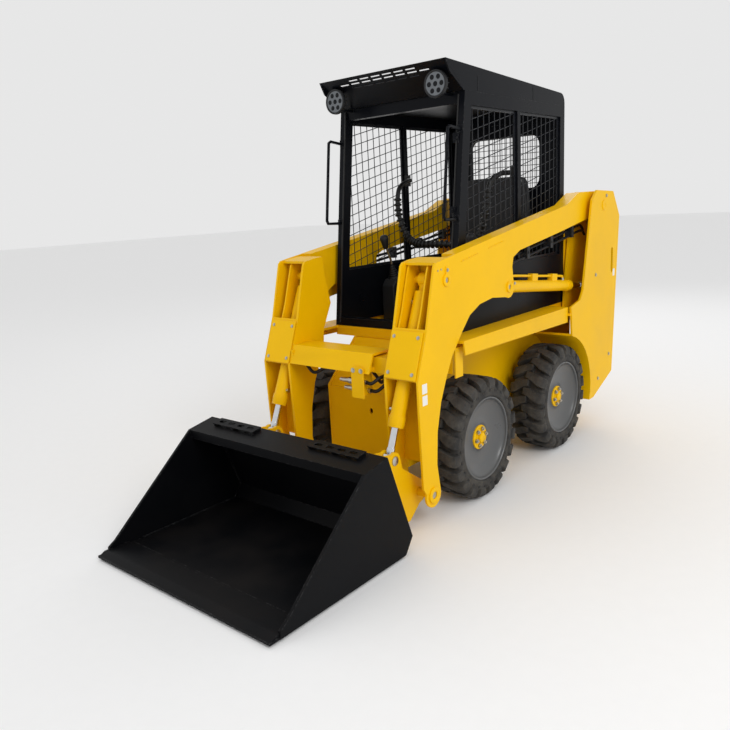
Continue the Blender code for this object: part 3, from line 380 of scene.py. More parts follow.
# ---------------------------------------------------------------- shapes
def block(shape, low, high, turn=None):
    """A box between two corners, turned about its middle."""
    low, high = Vector(low), Vector(high)
    place = Matrix.Translation((low + high) / 2) @ (turn or Matrix.Identity(4))
    bmesh.ops.create_cube(shape, size=1.0, matrix=place @ Matrix.Diagonal((*(high - low), 1.0)))


def span(side, near, far):
    """Two distances from the middle as low and high X on one side."""
    return sorted((side * near, side * far))


def facing(centre, direction):
    """A place whose own X axis points along the direction."""
    return Matrix.Translation(centre) @ Vector(direction).to_track_quat("X", "Z").to_matrix().to_4x4()


def bar(shape, start, end, radius, sides=24):
    """A round or many-sided bar between two places."""
    start, end = Vector(start), Vector(end)
    along = end - start
    place = Matrix.Translation((start + end) / 2) @ along.to_track_quat("Z", "Y").to_matrix().to_4x4()
    bmesh.ops.create_cone(shape, cap_ends=True, segments=sides, radius1=radius, radius2=radius,
                          depth=along.length, matrix=place)


def lathe(shape, profile, place, steps=48, closed=False):
    """Turns (along, radius) points about the place's own X axis."""
    rings = []
    for along, radius in profile:
        if radius < 1e-6:
            rings.append([shape.verts.new(place @ Vector((along, 0, 0)))] * steps)
            continue
        angles = [2 * math.pi * i / steps for i in range(steps)]
        rings.append([shape.verts.new(place @ Vector((along, radius * math.cos(a), radius * math.sin(a))))
                      for a in angles])
    pairs = list(zip(rings, rings[1:])) + ([(rings[-1], rings[0])] if closed else [])
    for first, second in pairs:
        for i in range(steps):
            j = (i + 1) % steps
            corners = list(dict.fromkeys((first[i], first[j], second[j], second[i])))
            if len(corners) > 2:
                shape.faces.new(corners)


def slab(shape, outline, low, high, axis="x"):
    """A flat outline with a thickness: (y, z) points across X, or (x, z) points across Y."""
    def corner(depth, a, b):
        return spot(depth, a, b) if axis == "x" else spot(a, depth, b)
    ends = [[shape.verts.new(corner(depth, a, b)) for a, b in outline] for depth in (low, high)]
    shape.faces.new(ends[0])
    shape.faces.new(ends[1][::-1])
    for i in range(len(outline)):
        j = (i + 1) % len(outline)
        shape.faces.new((ends[0][i], ends[1][i], ends[1][j], ends[0][j]))


def smooth_line(points, steps):
    """Places on a smooth line through the points."""
    points = [Vector(p) for p in points]
    ends = [points[0] * 2 - points[1]] + points + [points[-1] * 2 - points[-2]]
    line = []
    for a, b, c, d in zip(ends, ends[1:], ends[2:], ends[3:]):
        for i in range(steps):
            t = i / steps
            line.append(0.5 * ((2 * b) + (c - a) * t + (2 * a - 5 * b + 4 * c - d) * t * t
                               + (3 * b - a - 3 * c + d) * t ** 3))
    return line + [points[-1]]


def pipe(shape, points, radius, sides=12, steps=6):
    """A round tube along a smooth line through the points, with its ends closed."""
    line = smooth_line(points, steps) if steps > 1 else [Vector(p) for p in points]
    run = (line[1] - line[0]).normalized()
    side = run.orthogonal().normalized()
    rings = []
    for i, centre in enumerate(line):
        ahead = (line[min(i + 1, len(line) - 1)] - line[max(i - 1, 0)]).normalized()
        side = (run.rotation_difference(ahead) @ side).normalized()
        run = ahead
        across = run.cross(side)
        rings.append([shape.verts.new(centre + radius * (side * math.cos(a) + across * math.sin(a)))
                      for a in (2 * math.pi * k / sides for k in range(sides))])
    for first, second in zip(rings, rings[1:]):
        for k in range(sides):
            j = (k + 1) % sides
            shape.faces.new((first[k], first[j], second[j], second[k]))
    shape.faces.new(rings[0][::-1])
    shape.faces.new(rings[-1])


def bolt(shape, centre, direction, radius=0.009):
    """A hexagon bolt head on its washer, standing on a face."""
    centre, direction = Vector(centre), Vector(direction).normalized()
    bar(shape, centre - direction * 0.001, centre + direction * 0.0016, radius * 1.35, 20)
    bar(shape, centre, centre + direction * radius * 0.75, radius, 6)


def loose(shape, name):
    """The shape as an object of its own, not yet in the scene."""
    mesh = bpy.data.meshes.new(name)
    shape.to_mesh(mesh)
    shape.free()
    return bpy.data.objects.new(name, mesh)


def piece(shape, name, body, material_name, slot=None, replaces=(), bevel=0.0, segments=2, sharp=35.0):
    """Makes the shape a named piece that rides on a body."""
    bmesh.ops.recalc_face_normals(shape, faces=shape.faces)
    return dress(loose(shape, name), body, material_name, slot, replaces, bevel, segments, sharp)


def dress(made, body, material_name, slot, replaces, bevel, segments, sharp):
    """Finishes a piece: smooth faces, rounded edges, material, body; the slot is not used."""
    bpy.context.scene.collection.objects.link(made)
    made.data.shade_smooth()
    made.data.set_sharp_from_angle(angle=math.radians(sharp))
    made.data.materials.clear()
    made.data.materials.append(finish(material_name))
    if bevel:
        rounding = made.modifiers.new("rounded_edges", "BEVEL")
        rounding.width = bevel
        rounding.segments = segments
        rounding.limit_method = "ANGLE"
        rounding.angle_limit = math.radians(sharp)
        rounding.use_clamp_overlap = True
        rounding.harden_normals = True
    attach(made, body)
    if replaces:
        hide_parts(*replaces)
    return made


def recast(node_name, material_name, slot, bevel=FINE, carve=None, sharp=35.0):
    """A finished copy of a CAD node, with its cut edges rounded and further holes carved out."""
    source = frame["nodes"][node_name]
    shape = bmesh.new()
    shape.from_mesh(source.data)
    bmesh.ops.remove_doubles(shape, verts=shape.verts, dist=0.00001)
    bmesh.ops.dissolve_limit(shape, angle_limit=math.radians(0.4), verts=shape.verts, edges=shape.edges)
    mesh = bpy.data.meshes.new(node_name + "_finished")
    shape.to_mesh(mesh)
    shape.free()
    for spare in [a.name for a in mesh.attributes if a.name.startswith("custom_normal")]:
        mesh.attributes.remove(mesh.attributes[spare])
    made = bpy.data.objects.new(node_name + "_finished", mesh)
    if carve:
        carved(made, carve)
    return dress(made, source["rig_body"], material_name, slot, (node_name,), bevel, 2, sharp)


def carved(made, cutter_shape):
    """Takes the cutter's shape out of the piece's mesh."""
    bmesh.ops.recalc_face_normals(cutter_shape, faces=cutter_shape.faces)
    cutter_mesh = bpy.data.meshes.new("cutter")
    cutter_shape.to_mesh(cutter_mesh)
    cutter_shape.free()
    cutter = bpy.data.objects.new("cutter", cutter_mesh)
    bpy.context.scene.collection.objects.link(cutter)
    bpy.context.scene.collection.objects.link(made)
    step = made.modifiers.new("cut", "BOOLEAN")
    step.operation = "DIFFERENCE"
    step.solver = "EXACT"
    step.object = cutter
    bpy.context.view_layer.update()
    shown = made.evaluated_get(bpy.context.evaluated_depsgraph_get())
    result = bpy.data.meshes.new_from_object(shown)
    made.modifiers.remove(step)
    made.data = result
    bpy.data.objects.remove(cutter)
    bpy.context.scene.collection.objects.unlink(made)


def arc(centre, radius, start, end, steps=8):
    """Points on an arc of a flat outline, in degrees."""
    angles = [math.radians(start + (end - start) * i / steps) for i in range(steps + 1)]
    return [(centre[0] + radius * math.cos(a), centre[1] + radius * math.sin(a)) for a in angles]


def oblong(centre, half_run, radius, tilt=0.0, steps=8):
    """A slot's outline: a long hole with round ends, its run tilted in degrees."""
    run = Vector((math.cos(math.radians(tilt)), math.sin(math.radians(tilt)))) * half_run
    centre = Vector(centre)
    return (arc(centre + run, radius, tilt - 90, tilt + 90, steps)
            + arc(centre - run, radius, tilt + 90, tilt + 270, steps))


def front_edge_y(z):
    """Where the cab's leaning front edge is at a height."""
    (low_y, low_z), (top_y, top_z) = CAB_FRONT
    return low_y + (top_y - low_y) * (z - low_z) / (top_z - low_z)


# ---------------------------------------------------------------- pieces
class LOADER_OT_body(bpy.types.Operator):
    """Chassis, rear bumper, hood, rear door with its grille, and the arm towers"""

    bl_idname = "loader.body"
    bl_label = "Body"

    def execute(self, context):
        holes = bmesh.new()
        slab(holes, oblong((0.03, 0.43), 0.004, 0.010, 90), -0.72, -0.66, "y")
        recast("chassis_frame", *YELLOW, carve=holes)
        recast("rear_bumper", *BLACK, bevel=0.004)
        recast("engine_hood", *YELLOW, bevel=0.0015)
        for name, side in SIDES:
            brackets = bmesh.new()
            near, far = span(side, 0.398, 0.428)
            block(brackets, spot(near, -0.600, 0.632), spot(far, -0.594, 0.745))
            near, far = span(side, 0.440, 0.447)
            block(brackets, spot(near, -0.600, 0.615), spot(far, -0.540, 0.745))
            near, far = span(side, 0.398, 0.447)
            block(brackets, spot(near, -0.600, 0.744), spot(far, -0.500, 0.751))
            made = loose(brackets, f"fender_bracket_{name}")
            hole = bmesh.new()
            bar(hole, spot(side * 0.413, -0.620, 0.690), spot(side * 0.413, -0.580, 0.690), 0.0105, 24)
            carved(made, hole)
            dress(made, "machine", *YELLOW, (), FINE, 2, 35.0)
        grille = bmesh.new()
        for row in range(GRILLE_ROWS):
            z = GRILLE_LOW_Z + row * GRILLE_PITCH
            slab(grille, oblong((0.0, z), 0.20, 0.011), 1.05, 1.16, "y")
        recast("rear_door", *YELLOW, bevel=0.0015, carve=grille)
        screen = bmesh.new()
        for i in range(34):
            x = -0.2 + i * DOOR_SCREEN_PITCH
            bar(screen, spot(x, 1.101, 0.84), spot(x, 1.101, 1.105), 0.0012, 6)
        for i in range(22):
            z = 0.845 + i * DOOR_SCREEN_PITCH
            bar(screen, spot(-0.205, 1.1032, z), spot(0.205, 1.1032, z), 0.0012, 6)
        piece(screen, "rear_door_screen", "rear_door", *WIRE)
        latch = bmesh.new()
        slab(latch, oblong((0.300, 0.97), 0.030, 0.016, 90), 1.1255, 1.131, "y")
        bar(latch, spot(0.300, 1.128, 0.972), spot(0.300, 1.140, 0.972), 0.009, 20)
        piece(latch, "rear_door_latch", "rear_door", *PLASTIC, bevel=0.001)
        for name, side in SIDES:
            carve = bmesh.new()
            slot = oblong((1.040, 0.989), 0.060, 0.015, 90)
            low, high = span(side, TOWER_OUTER_X - 0.030, TOWER_OUTER_X + 0.010)
            slab(carve, slot, low, high)
            recast(f"tower_{name}", *YELLOW, carve=carve)
            bolts = bmesh.new()
            for y, z in ((0.935, 1.366), (0.800, 0.925), (1.020, 0.42), (0.86, 0.30)):
                bolt(bolts, spot(side * TOWER_OUTER_X, y, z), (side, 0, 0), 0.008)
            piece(bolts, f"tower_bolts_{name}", "machine", "zinc_plate")
            label = bmesh.new()
            low, high = span(side, TOWER_OUTER_X, TOWER_OUTER_X + 0.0006)
            slab(label, [(1.058, 0.892), (1.086, 0.892), (1.086, 0.934), (1.058, 0.934)], low, high)
            piece(label, f"tower_label_{name}", "machine", "blank_label")
            pin = bmesh.new()
            cap = [(0.0, 0.030), (0.003, 0.030), (0.006, 0.026), (0.006, 0.012), (0.004, 0.010), (0.004, 0.0)]
            lathe(pin, [(-0.004, 0.0), (-0.004, 0.030)] + cap,
                  facing(spot(side * TOWER_OUTER_X, *ARM_PIVOT), (side, 0, 0)))
            piece(pin, f"arm_pivot_cap_{name}", "machine", *YELLOW)
        return {"FINISHED"}


class LOADER_OT_running_gear(bpy.types.Operator):
    """Axles and the engine with its ribs and pulleys"""

    bl_idname = "loader.running_gear"
    bl_label = "Axles and engine"

    def execute(self, context):
        for end in ("front", "rear"):
            recast(f"axle_{end}", *BLACK, bevel=0.002)
        low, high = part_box("engine_block")
        engine = bmesh.new()
        block(engine, low + Vector((0.012, 0.012, 0.0)),
              Vector((high.x - 0.012, high.y - 0.020, high.z - 0.16)))
        block(engine, (low.x + 0.05, low.y + 0.05, high.z - 0.18), (high.x - 0.05, high.y - 0.06, high.z))
        for i in range(9):
            z = low.z + 0.08 + i * 0.055
            block(engine, (low.x, low.y + 0.02, z), (high.x, high.y - 0.03, z + 0.010))
        for x, z, radius in ((-0.06, 0.45, 0.085), (0.09, 0.60, 0.050), (-0.08, 0.68, 0.040)):
            place = facing(Vector((x, high.y - 0.024, z)), (0, 1, 0))
            lathe(engine, [(0.0, 0.0), (0.0, radius), (0.006, radius), (0.012, radius * 0.88),
                           (0.018, radius), (0.024, radius), (0.024, 0.0)], place)
        piece(engine, "engine_block_finished", "machine", "engine_enamel", "engine_iron", ("engine_block",),
              bevel=0.003)
        return {"FINISHED"}


class LOADER_OT_cab(bpy.types.Operator):
    """Cab frame, roof with its slotted visor, rear panel, seams and small fittings"""

    bl_idname = "loader.cab"
    bl_label = "Cab"

    def execute(self, context):
        recast("cab_frame", *BLACK, bevel=0.0015)
        recast("cab_rear_panel", *BLACK, bevel=0.0015)
        slots = bmesh.new()
        tip, foot = Vector(VISOR_TIP), Vector(VISOR_FOOT)
        run = (foot - tip).normalized()
        lean = Matrix.Rotation(math.atan2(-run.y, run.x) * -1, 4, "X")
        for column in range(VISOR_COLUMNS):
            x = (column - (VISOR_COLUMNS - 1) / 2) * VISOR_COLUMN_PITCH
            rows = (1,) if column in (0, VISOR_COLUMNS - 1) else (0, 1, 2)
            for row in rows:
                centre = tip + run * (0.024 + row * VISOR_ROW_PITCH)
                middle = spot(x, centre.x, centre.y)
                block(slots, middle - Vector((0.027, 0.0045, 0.012)),
                      middle + Vector((0.027, 0.0045, 0.012)), lean)
        recast("cab_roof", *BLACK, bevel=0.0015, carve=slots)
        trim = bmesh.new()
        for side in (1, -1):
            for y in (-0.235, 0.30):
                block(trim, spot(side * CAB_HALF_WIDTH - 0.0012, y - 0.001, 1.856),
                      spot(side * CAB_HALF_WIDTH + 0.0012, y + 0.001, 1.925))
        piece(trim, "roof_side_seams", "machine", *PLASTIC)
        seal = bmesh.new()
        for side in (1, -1):
            low_z, top_z = 0.80, 1.84
            x = side * (CAB_HALF_WIDTH - 0.032)
            pipe(seal, [spot(x, front_edge_y(low_z) - 0.0015, low_z),
                        spot(x, front_edge_y(top_z) - 0.0015, top_z)],
                 0.004, 8, 1)
        piece(seal, "door_edge_seals", "machine", *HOSE)
        fittings = bmesh.new()
        for z in (1.335, 1.655):
            y = front_edge_y(z)
            bar(fittings, spot(0.330, y - 0.012, z), spot(0.330, y + 0.004, z), 0.010, 20)
            block(fittings, spot(0.315, y - 0.006, z - 0.022), spot(0.345, y + 0.002, z + 0.022))
        for side in (1, -1):
            for z in (1.300, 1.690):
                y = front_edge_y(z)
                block(fittings, spot(side * 0.350 - 0.013, y - 0.005, z - 0.020),
                      spot(side * 0.350 + 0.013, y + 0.002, z + 0.020))
                bolt(fittings, spot(side * 0.350, y - 0.005, z - 0.014 if z > 1.5 else z + 0.014),
                     (0, -1, 0), 0.0045)
        piece(fittings, "cab_front_fittings", "machine", *BLACK, bevel=0.001)
        mesh = bmesh.new()
        y = 0.658
        for i in range(16):
            x = -0.225 + 0.45 * i / 15
            bar(mesh, spot(x, y, 1.42), spot(x, y, 1.73), 0.0018, 6)
        for i in range(10):
            z = 1.425 + 0.30 * i / 9
            bar(mesh, spot(-0.235, y + 0.003, z), spot(0.235, y + 0.003, z), 0.0018, 6)
        piece(mesh, "rear_window_screen", "machine", *WIRE)
        trim = bmesh.new()
        ring_out = rounded(0.0, 1.576, 0.236, 0.157, 0.064)
        ring_in = rounded(0.0, 1.576, 0.222, 0.143, 0.052)
        frame_strip(trim, ring_out, ring_in, 0.6695, 0.676)
        piece(trim, "rear_window_trim", "machine", *HOSE, bevel=0.001)
        return {"FINISHED"}


def rounded(x, z, half_width, half_height, corner):
    """A rounded rectangle's outline."""
    w, h = half_width - corner, half_height - corner
    return (arc((x + w, z + h), corner, 0, 90, 6) + arc((x - w, z + h), corner, 90, 180, 6)
            + arc((x - w, z - h), corner, 180, 270, 6) + arc((x + w, z - h), corner, 270, 360, 6))


def frame_strip(shape, outside, inside, low_y, high_y):
    """A flat frame between two outlines with as many points, across Y."""
    rings = [[shape.verts.new(spot(x, y, z)) for x, z in outline]
             for outline, y in ((outside, low_y), (outside, high_y), (inside, high_y), (inside, low_y))]
    for first, second in zip(rings, rings[1:] + rings[:1]):
        for i in range(len(first)):
            j = (i + 1) % len(first)
            shape.faces.new((first[i], first[j], second[j], second[i]))


class LOADER_OT_screens(bpy.types.Operator):
    """Welded wire screens in the cab's side windows"""

    bl_idname = "loader.screens"
    bl_label = "Cab screens"

    def execute(self, context):
        sizes = context.scene.loader_sizes
        for name, side in SIDES:
            for panel, window in (("front", (None, 0.135)), ("rear", (0.165, 0.619))):
                x = side * (CAB_HALF_WIDTH - 0.015)
                shape = bmesh.new()
                left = (lambda z: front_edge_y(z) + 0.060) if window[0] is None else (lambda z: window[0])
                right = window[1]
                corners = [(left(WINDOW_LOW_Z), WINDOW_LOW_Z), (right, WINDOW_LOW_Z), (right, WINDOW_TOP_Z),
                           (left(WINDOW_TOP_Z), WINDOW_TOP_Z)]
                inner = [(corners[0][0] + 0.012, WINDOW_LOW_Z + 0.012), (right - 0.012, WINDOW_LOW_Z + 0.012),
                         (right - 0.012, WINDOW_TOP_Z - 0.012), (corners[3][0] + 0.012, WINDOW_TOP_Z - 0.012)]
                for i in range(4):
                    j = (i + 1) % 4
                    low, high = sorted((x - 0.003, x + 0.003))
                    slab(shape, [corners[i], corners[j], inner[j], inner[i]], low, high)
                count = int((right - left(WINDOW_LOW_Z)) / sizes.wire_pitch)
                for i in range(1, count + 1):
                    y = right - i * sizes.wire_pitch
                    low_z, top_z = WINDOW_LOW_Z + 0.004, WINDOW_TOP_Z - 0.004
                    if window[0] is None and y < left(top_z):
                        top_z = WINDOW_LOW_Z + (WINDOW_TOP_Z - WINDOW_LOW_Z) * (
                            (y - left(WINDOW_LOW_Z)) / (left(WINDOW_TOP_Z) - left(WINDOW_LOW_Z)))
                    if top_z - low_z > 0.02:
                        bar(shape, spot(x, y, low_z), spot(x, y, top_z), sizes.wire_radius, 6)
                z = WINDOW_LOW_Z - 0.08
                while z < WINDOW_TOP_Z:
                    z += sizes.wire_pitch
                    y0, y1 = left(max(z, WINDOW_LOW_Z)), right
                    z0, z1 = z, z + WIRE_SLOPE * (y1 - y0)
                    if z0 < WINDOW_LOW_Z:
                        y0, z0 = y0 + (WINDOW_LOW_Z - z0) / WIRE_SLOPE, WINDOW_LOW_Z
                    if z1 > WINDOW_TOP_Z:
                        y1, z1 = y1 - (z1 - WINDOW_TOP_Z) / WIRE_SLOPE, WINDOW_TOP_Z
                    if y1 - y0 > 0.02:
                        bar(shape, spot(x - side * 0.003, y0, z0), spot(x - side * 0.003, y1, z1),
                            sizes.wire_radius, 6)
                piece(shape, f"cab_screen_{panel}_{name}", "machine", *WIRE,
                      (f"cab_guard_{panel}_{name}",))
        return {"FINISHED"}


class LOADER_OT_lights(bpy.types.Operator):
    """Round work lights under the visor, each with a finned housing and seven cells"""

    bl_idname = "loader.lights"
    bl_label = "Work lights"

    def execute(self, context):
        for name, _ in SIDES:
            low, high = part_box(f"work_light_{name}")
            radius = (high.x - low.x) / 2
            place = facing(Vector(((low.x + high.x) / 2, low.y, (low.z + high.z) / 2)), (0, 1, 0))
            housing = bmesh.new()
            lathe(housing, [(0.004, radius - 0.010), (0.0, radius - 0.006), (0.0, radius - 0.001),
                            (0.003, radius),
                            (0.016, radius), (0.019, radius - 0.003), (0.019, radius - 0.010),
                            (0.024, radius - 0.012), (0.042, radius * 0.62), (0.042, 0.0)], place, 56)
            for i in range(LAMP_FINS):
                a = 2 * math.pi * i / LAMP_FINS
                spoke = place @ Matrix.Rotation(a, 4, "X")
                block_at(housing, spoke, (0.018, radius * 0.45, -0.0015), (0.040, radius - 0.008, 0.0015))
            piece(housing, f"work_light_housing_{name}", "machine", "black_abs", "lamp_lens",
                  (f"work_light_{name}",), bevel=0.0004)
            bracket = bmesh.new()
            centre = Vector(((low.x + high.x) / 2, 0, (low.z + high.z) / 2))
            bar(bracket, (centre.x, low.y + 0.030, centre.z - 0.036), (centre.x, high.y, centre.z - 0.036),
                0.006, 16)
            piece(bracket, f"work_light_bracket_{name}", "machine", *BLACK)
            face = bmesh.new()
            lathe(face, [(0.004, 0.0), (0.0035, radius * 0.5), (0.003, radius - 0.0095),
                         (0.006, radius - 0.0095),
                         (0.006, 0.0)], place, 56)
            piece(face, f"work_light_face_{name}", "machine", "lamp_reflector", "lamp_lens")
            # The cells take the near-black lens finish: painted shade and dark reflection of clear lenses
            # over deep cells.
            cells = bmesh.new()
            for i in range(LAMP_OUTER_CELLS + 1):
                a = math.pi / 3 * i
                reach = 0.0 if i == LAMP_OUTER_CELLS else radius * 0.56
                cell = place @ Matrix.Translation((0, reach * math.cos(a), reach * math.sin(a)))
                lathe(cells, [(0.0004, 0.0), (0.0008, 0.006), (0.0030, 0.0105), (0.0045, 0.0115),
                              (0.0045, 0.0)],
                      cell, 20)
            piece(cells, f"work_light_cells_{name}", "machine", "lamp_lens", "lamp_lens")
        return {"FINISHED"}


def block_at(shape, place, low, high):
    """A box between two corners given in a place of its own."""
    low, high = Vector(low), Vector(high)
    matrix = place @ Matrix.Translation((low + high) / 2) @ Matrix.Diagonal((*(high - low), 1.0))
    bmesh.ops.create_cube(shape, size=1.0, matrix=matrix)


class LOADER_OT_seat(bpy.types.Operator):
    """Seat box, seat cushion and backrest with sewn channels"""

    bl_idname = "loader.seat"
    bl_label = "Seat"

    def execute(self, context):
        recast("seat_box", *BLACK, bevel=0.004)
        base = cushion("seat_cushion", spot(0, 0.235, 1.016), (0.215, 0.210, 0.052), Matrix.Identity(4))
        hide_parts("seat")
        lean = Matrix.Rotation(math.radians(-84.0), 4, "X")
        cushion("seat_backrest", spot(0, 0.545, 1.275), (0.212, 0.235, 0.040), lean)
        return {"FINISHED"}


def cushion(name, centre, half, turn):
    """A crowned closed cushion whose sides pull in, with two sewn channels along it."""
    shape = bmesh.new()
    bmesh.ops.create_cube(shape, size=2.0)
    bmesh.ops.subdivide_edges(shape, edges=shape.edges, cuts=23, use_grid_fill=True)
    for v in shape.verts:
        x, y, z = v.co
        pull = 1.0 - 0.055 * (1 - abs(x) ** 4 if abs(y) > 0.98 else 0) - 0.04 * (1 - z * z)
        round_off = (abs(x) ** 6 + abs(y) ** 6) ** (1 / 6)
        rim = max(0.0, 1.0 - max(abs(x), abs(y)) ** 8)
        groove = sum(math.exp(-((x - g) / 0.035) ** 2) for g in (-0.36, 0.36)) * 0.16
        crown = (0.72 + 0.28 * rim - groove * rim) if z > 0 else 0.82
        scale = 1.0 if round_off < 1.0 else 1.0 / round_off
        v.co = Vector((x * half[0] * pull * scale, y * half[1] * pull * scale, z * half[2] * crown))
    bmesh.ops.transform(shape, matrix=Matrix.Translation(centre) @ turn, verts=shape.verts)
    made = piece(shape, name, "machine", "seat_vinyl", "seat_vinyl", sharp=60.0)
    smooth = made.modifiers.new("soft", "SUBSURF")
    smooth.levels = smooth.render_levels = 1
    return made


class LOADER_OT_controls(bpy.types.Operator):
    """Side consoles, control levers with boots and round knobs, and the drive handles"""

    bl_idname = "loader.controls"
    bl_label = "Controls"

    def execute(self, context):
        for name, _ in SIDES:
            low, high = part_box(f"control_console_{name}")
            x = (low.x + high.x) / 2
            console = bmesh.new()
            slab(console, [(-0.150, 0.748), (0.420, 0.748), (0.420, 0.960), (0.380, 0.995), (-0.020, 1.000),
                           (-0.120, 0.985), (-0.150, 0.950)], low.x + 0.003, high.x - 0.003)
            piece(console, f"control_console_{name}_finished", "machine", *PLASTIC,
                  (f"control_console_{name}",), bevel=0.008)
            boot = bmesh.new()
            place = facing(spot(x, -0.085, 0.990), (0, -0.28, 1.0))
            folds = [(0.0, 0.036)]
            for i in range(6):
                folds += [(0.008 + i * 0.011, 0.034 - i * 0.0042), (0.0135 + i * 0.011, 0.0275 - i * 0.0038)]
            lathe(boot, [(-0.004, 0.0), (-0.004, 0.038)] + folds + [(0.078, 0.008), (0.078, 0.0)], place, 32)
            piece(boot, f"lever_boot_{name}", "machine", *HOSE)
            lever = bmesh.new()
            pipe(lever, [spot(x, -0.085, 0.995), spot(x, -0.108, 1.075), spot(x, -0.148, 1.160)], 0.006, 12)
            piece(lever, f"lever_rod_{name}", "machine", "zinc_plate")
            knob = bmesh.new()
            place = facing(spot(x, -0.150, 1.150), (0, -0.22, 1.0))
            lathe(knob, [(0.0, 0.0), (0.0, 0.010), (0.006, 0.014), (0.020, 0.017), (0.036, 0.020),
                         (0.052, 0.0235),
                         (0.064, 0.0225), (0.072, 0.017), (0.076, 0.009), (0.077, 0.0)], place, 32)
            piece(knob, f"lever_knob_{name}", "machine", *PLASTIC)
        lap = bmesh.new()
        half = [(0.337, 0.150, 1.505), (0.305, 0.138, 1.506), (0.290, 0.085, 1.500), (0.282, 0.000, 1.455),
                (0.272, -0.022, 1.330),
                (0.225, -0.012, 1.205), (0.140, -0.020, 1.166)]
        path = [spot(-x, y, z) for x, y, z in half] + [spot(0.0, -0.030,
                                                            1.165)] + [spot(*p) for p in half[::-1]]
        pipe(lap, path, 0.0125, 16)
        for side in (1, -1):
            near, far = span(side, 0.322, 0.338)
            block(lap, spot(near, 0.132, 1.475), spot(far, 0.168, 1.535))
        line = smooth_line(path, 10)
        for first, second in zip(line[34:-34:2], line[35:-33:2]):
            middle, run = (first + second) / 2, (second - first).normalized()
            lathe(lap, [(-0.006, 0.0), (-0.006, 0.018), (-0.002, 0.0215), (0.002, 0.0215), (0.006, 0.018),
                        (0.006, 0.0)],
                  facing(middle, run), 20)
        piece(lap, "lap_bar", "machine", *HOSE)
        return {"FINISHED"}


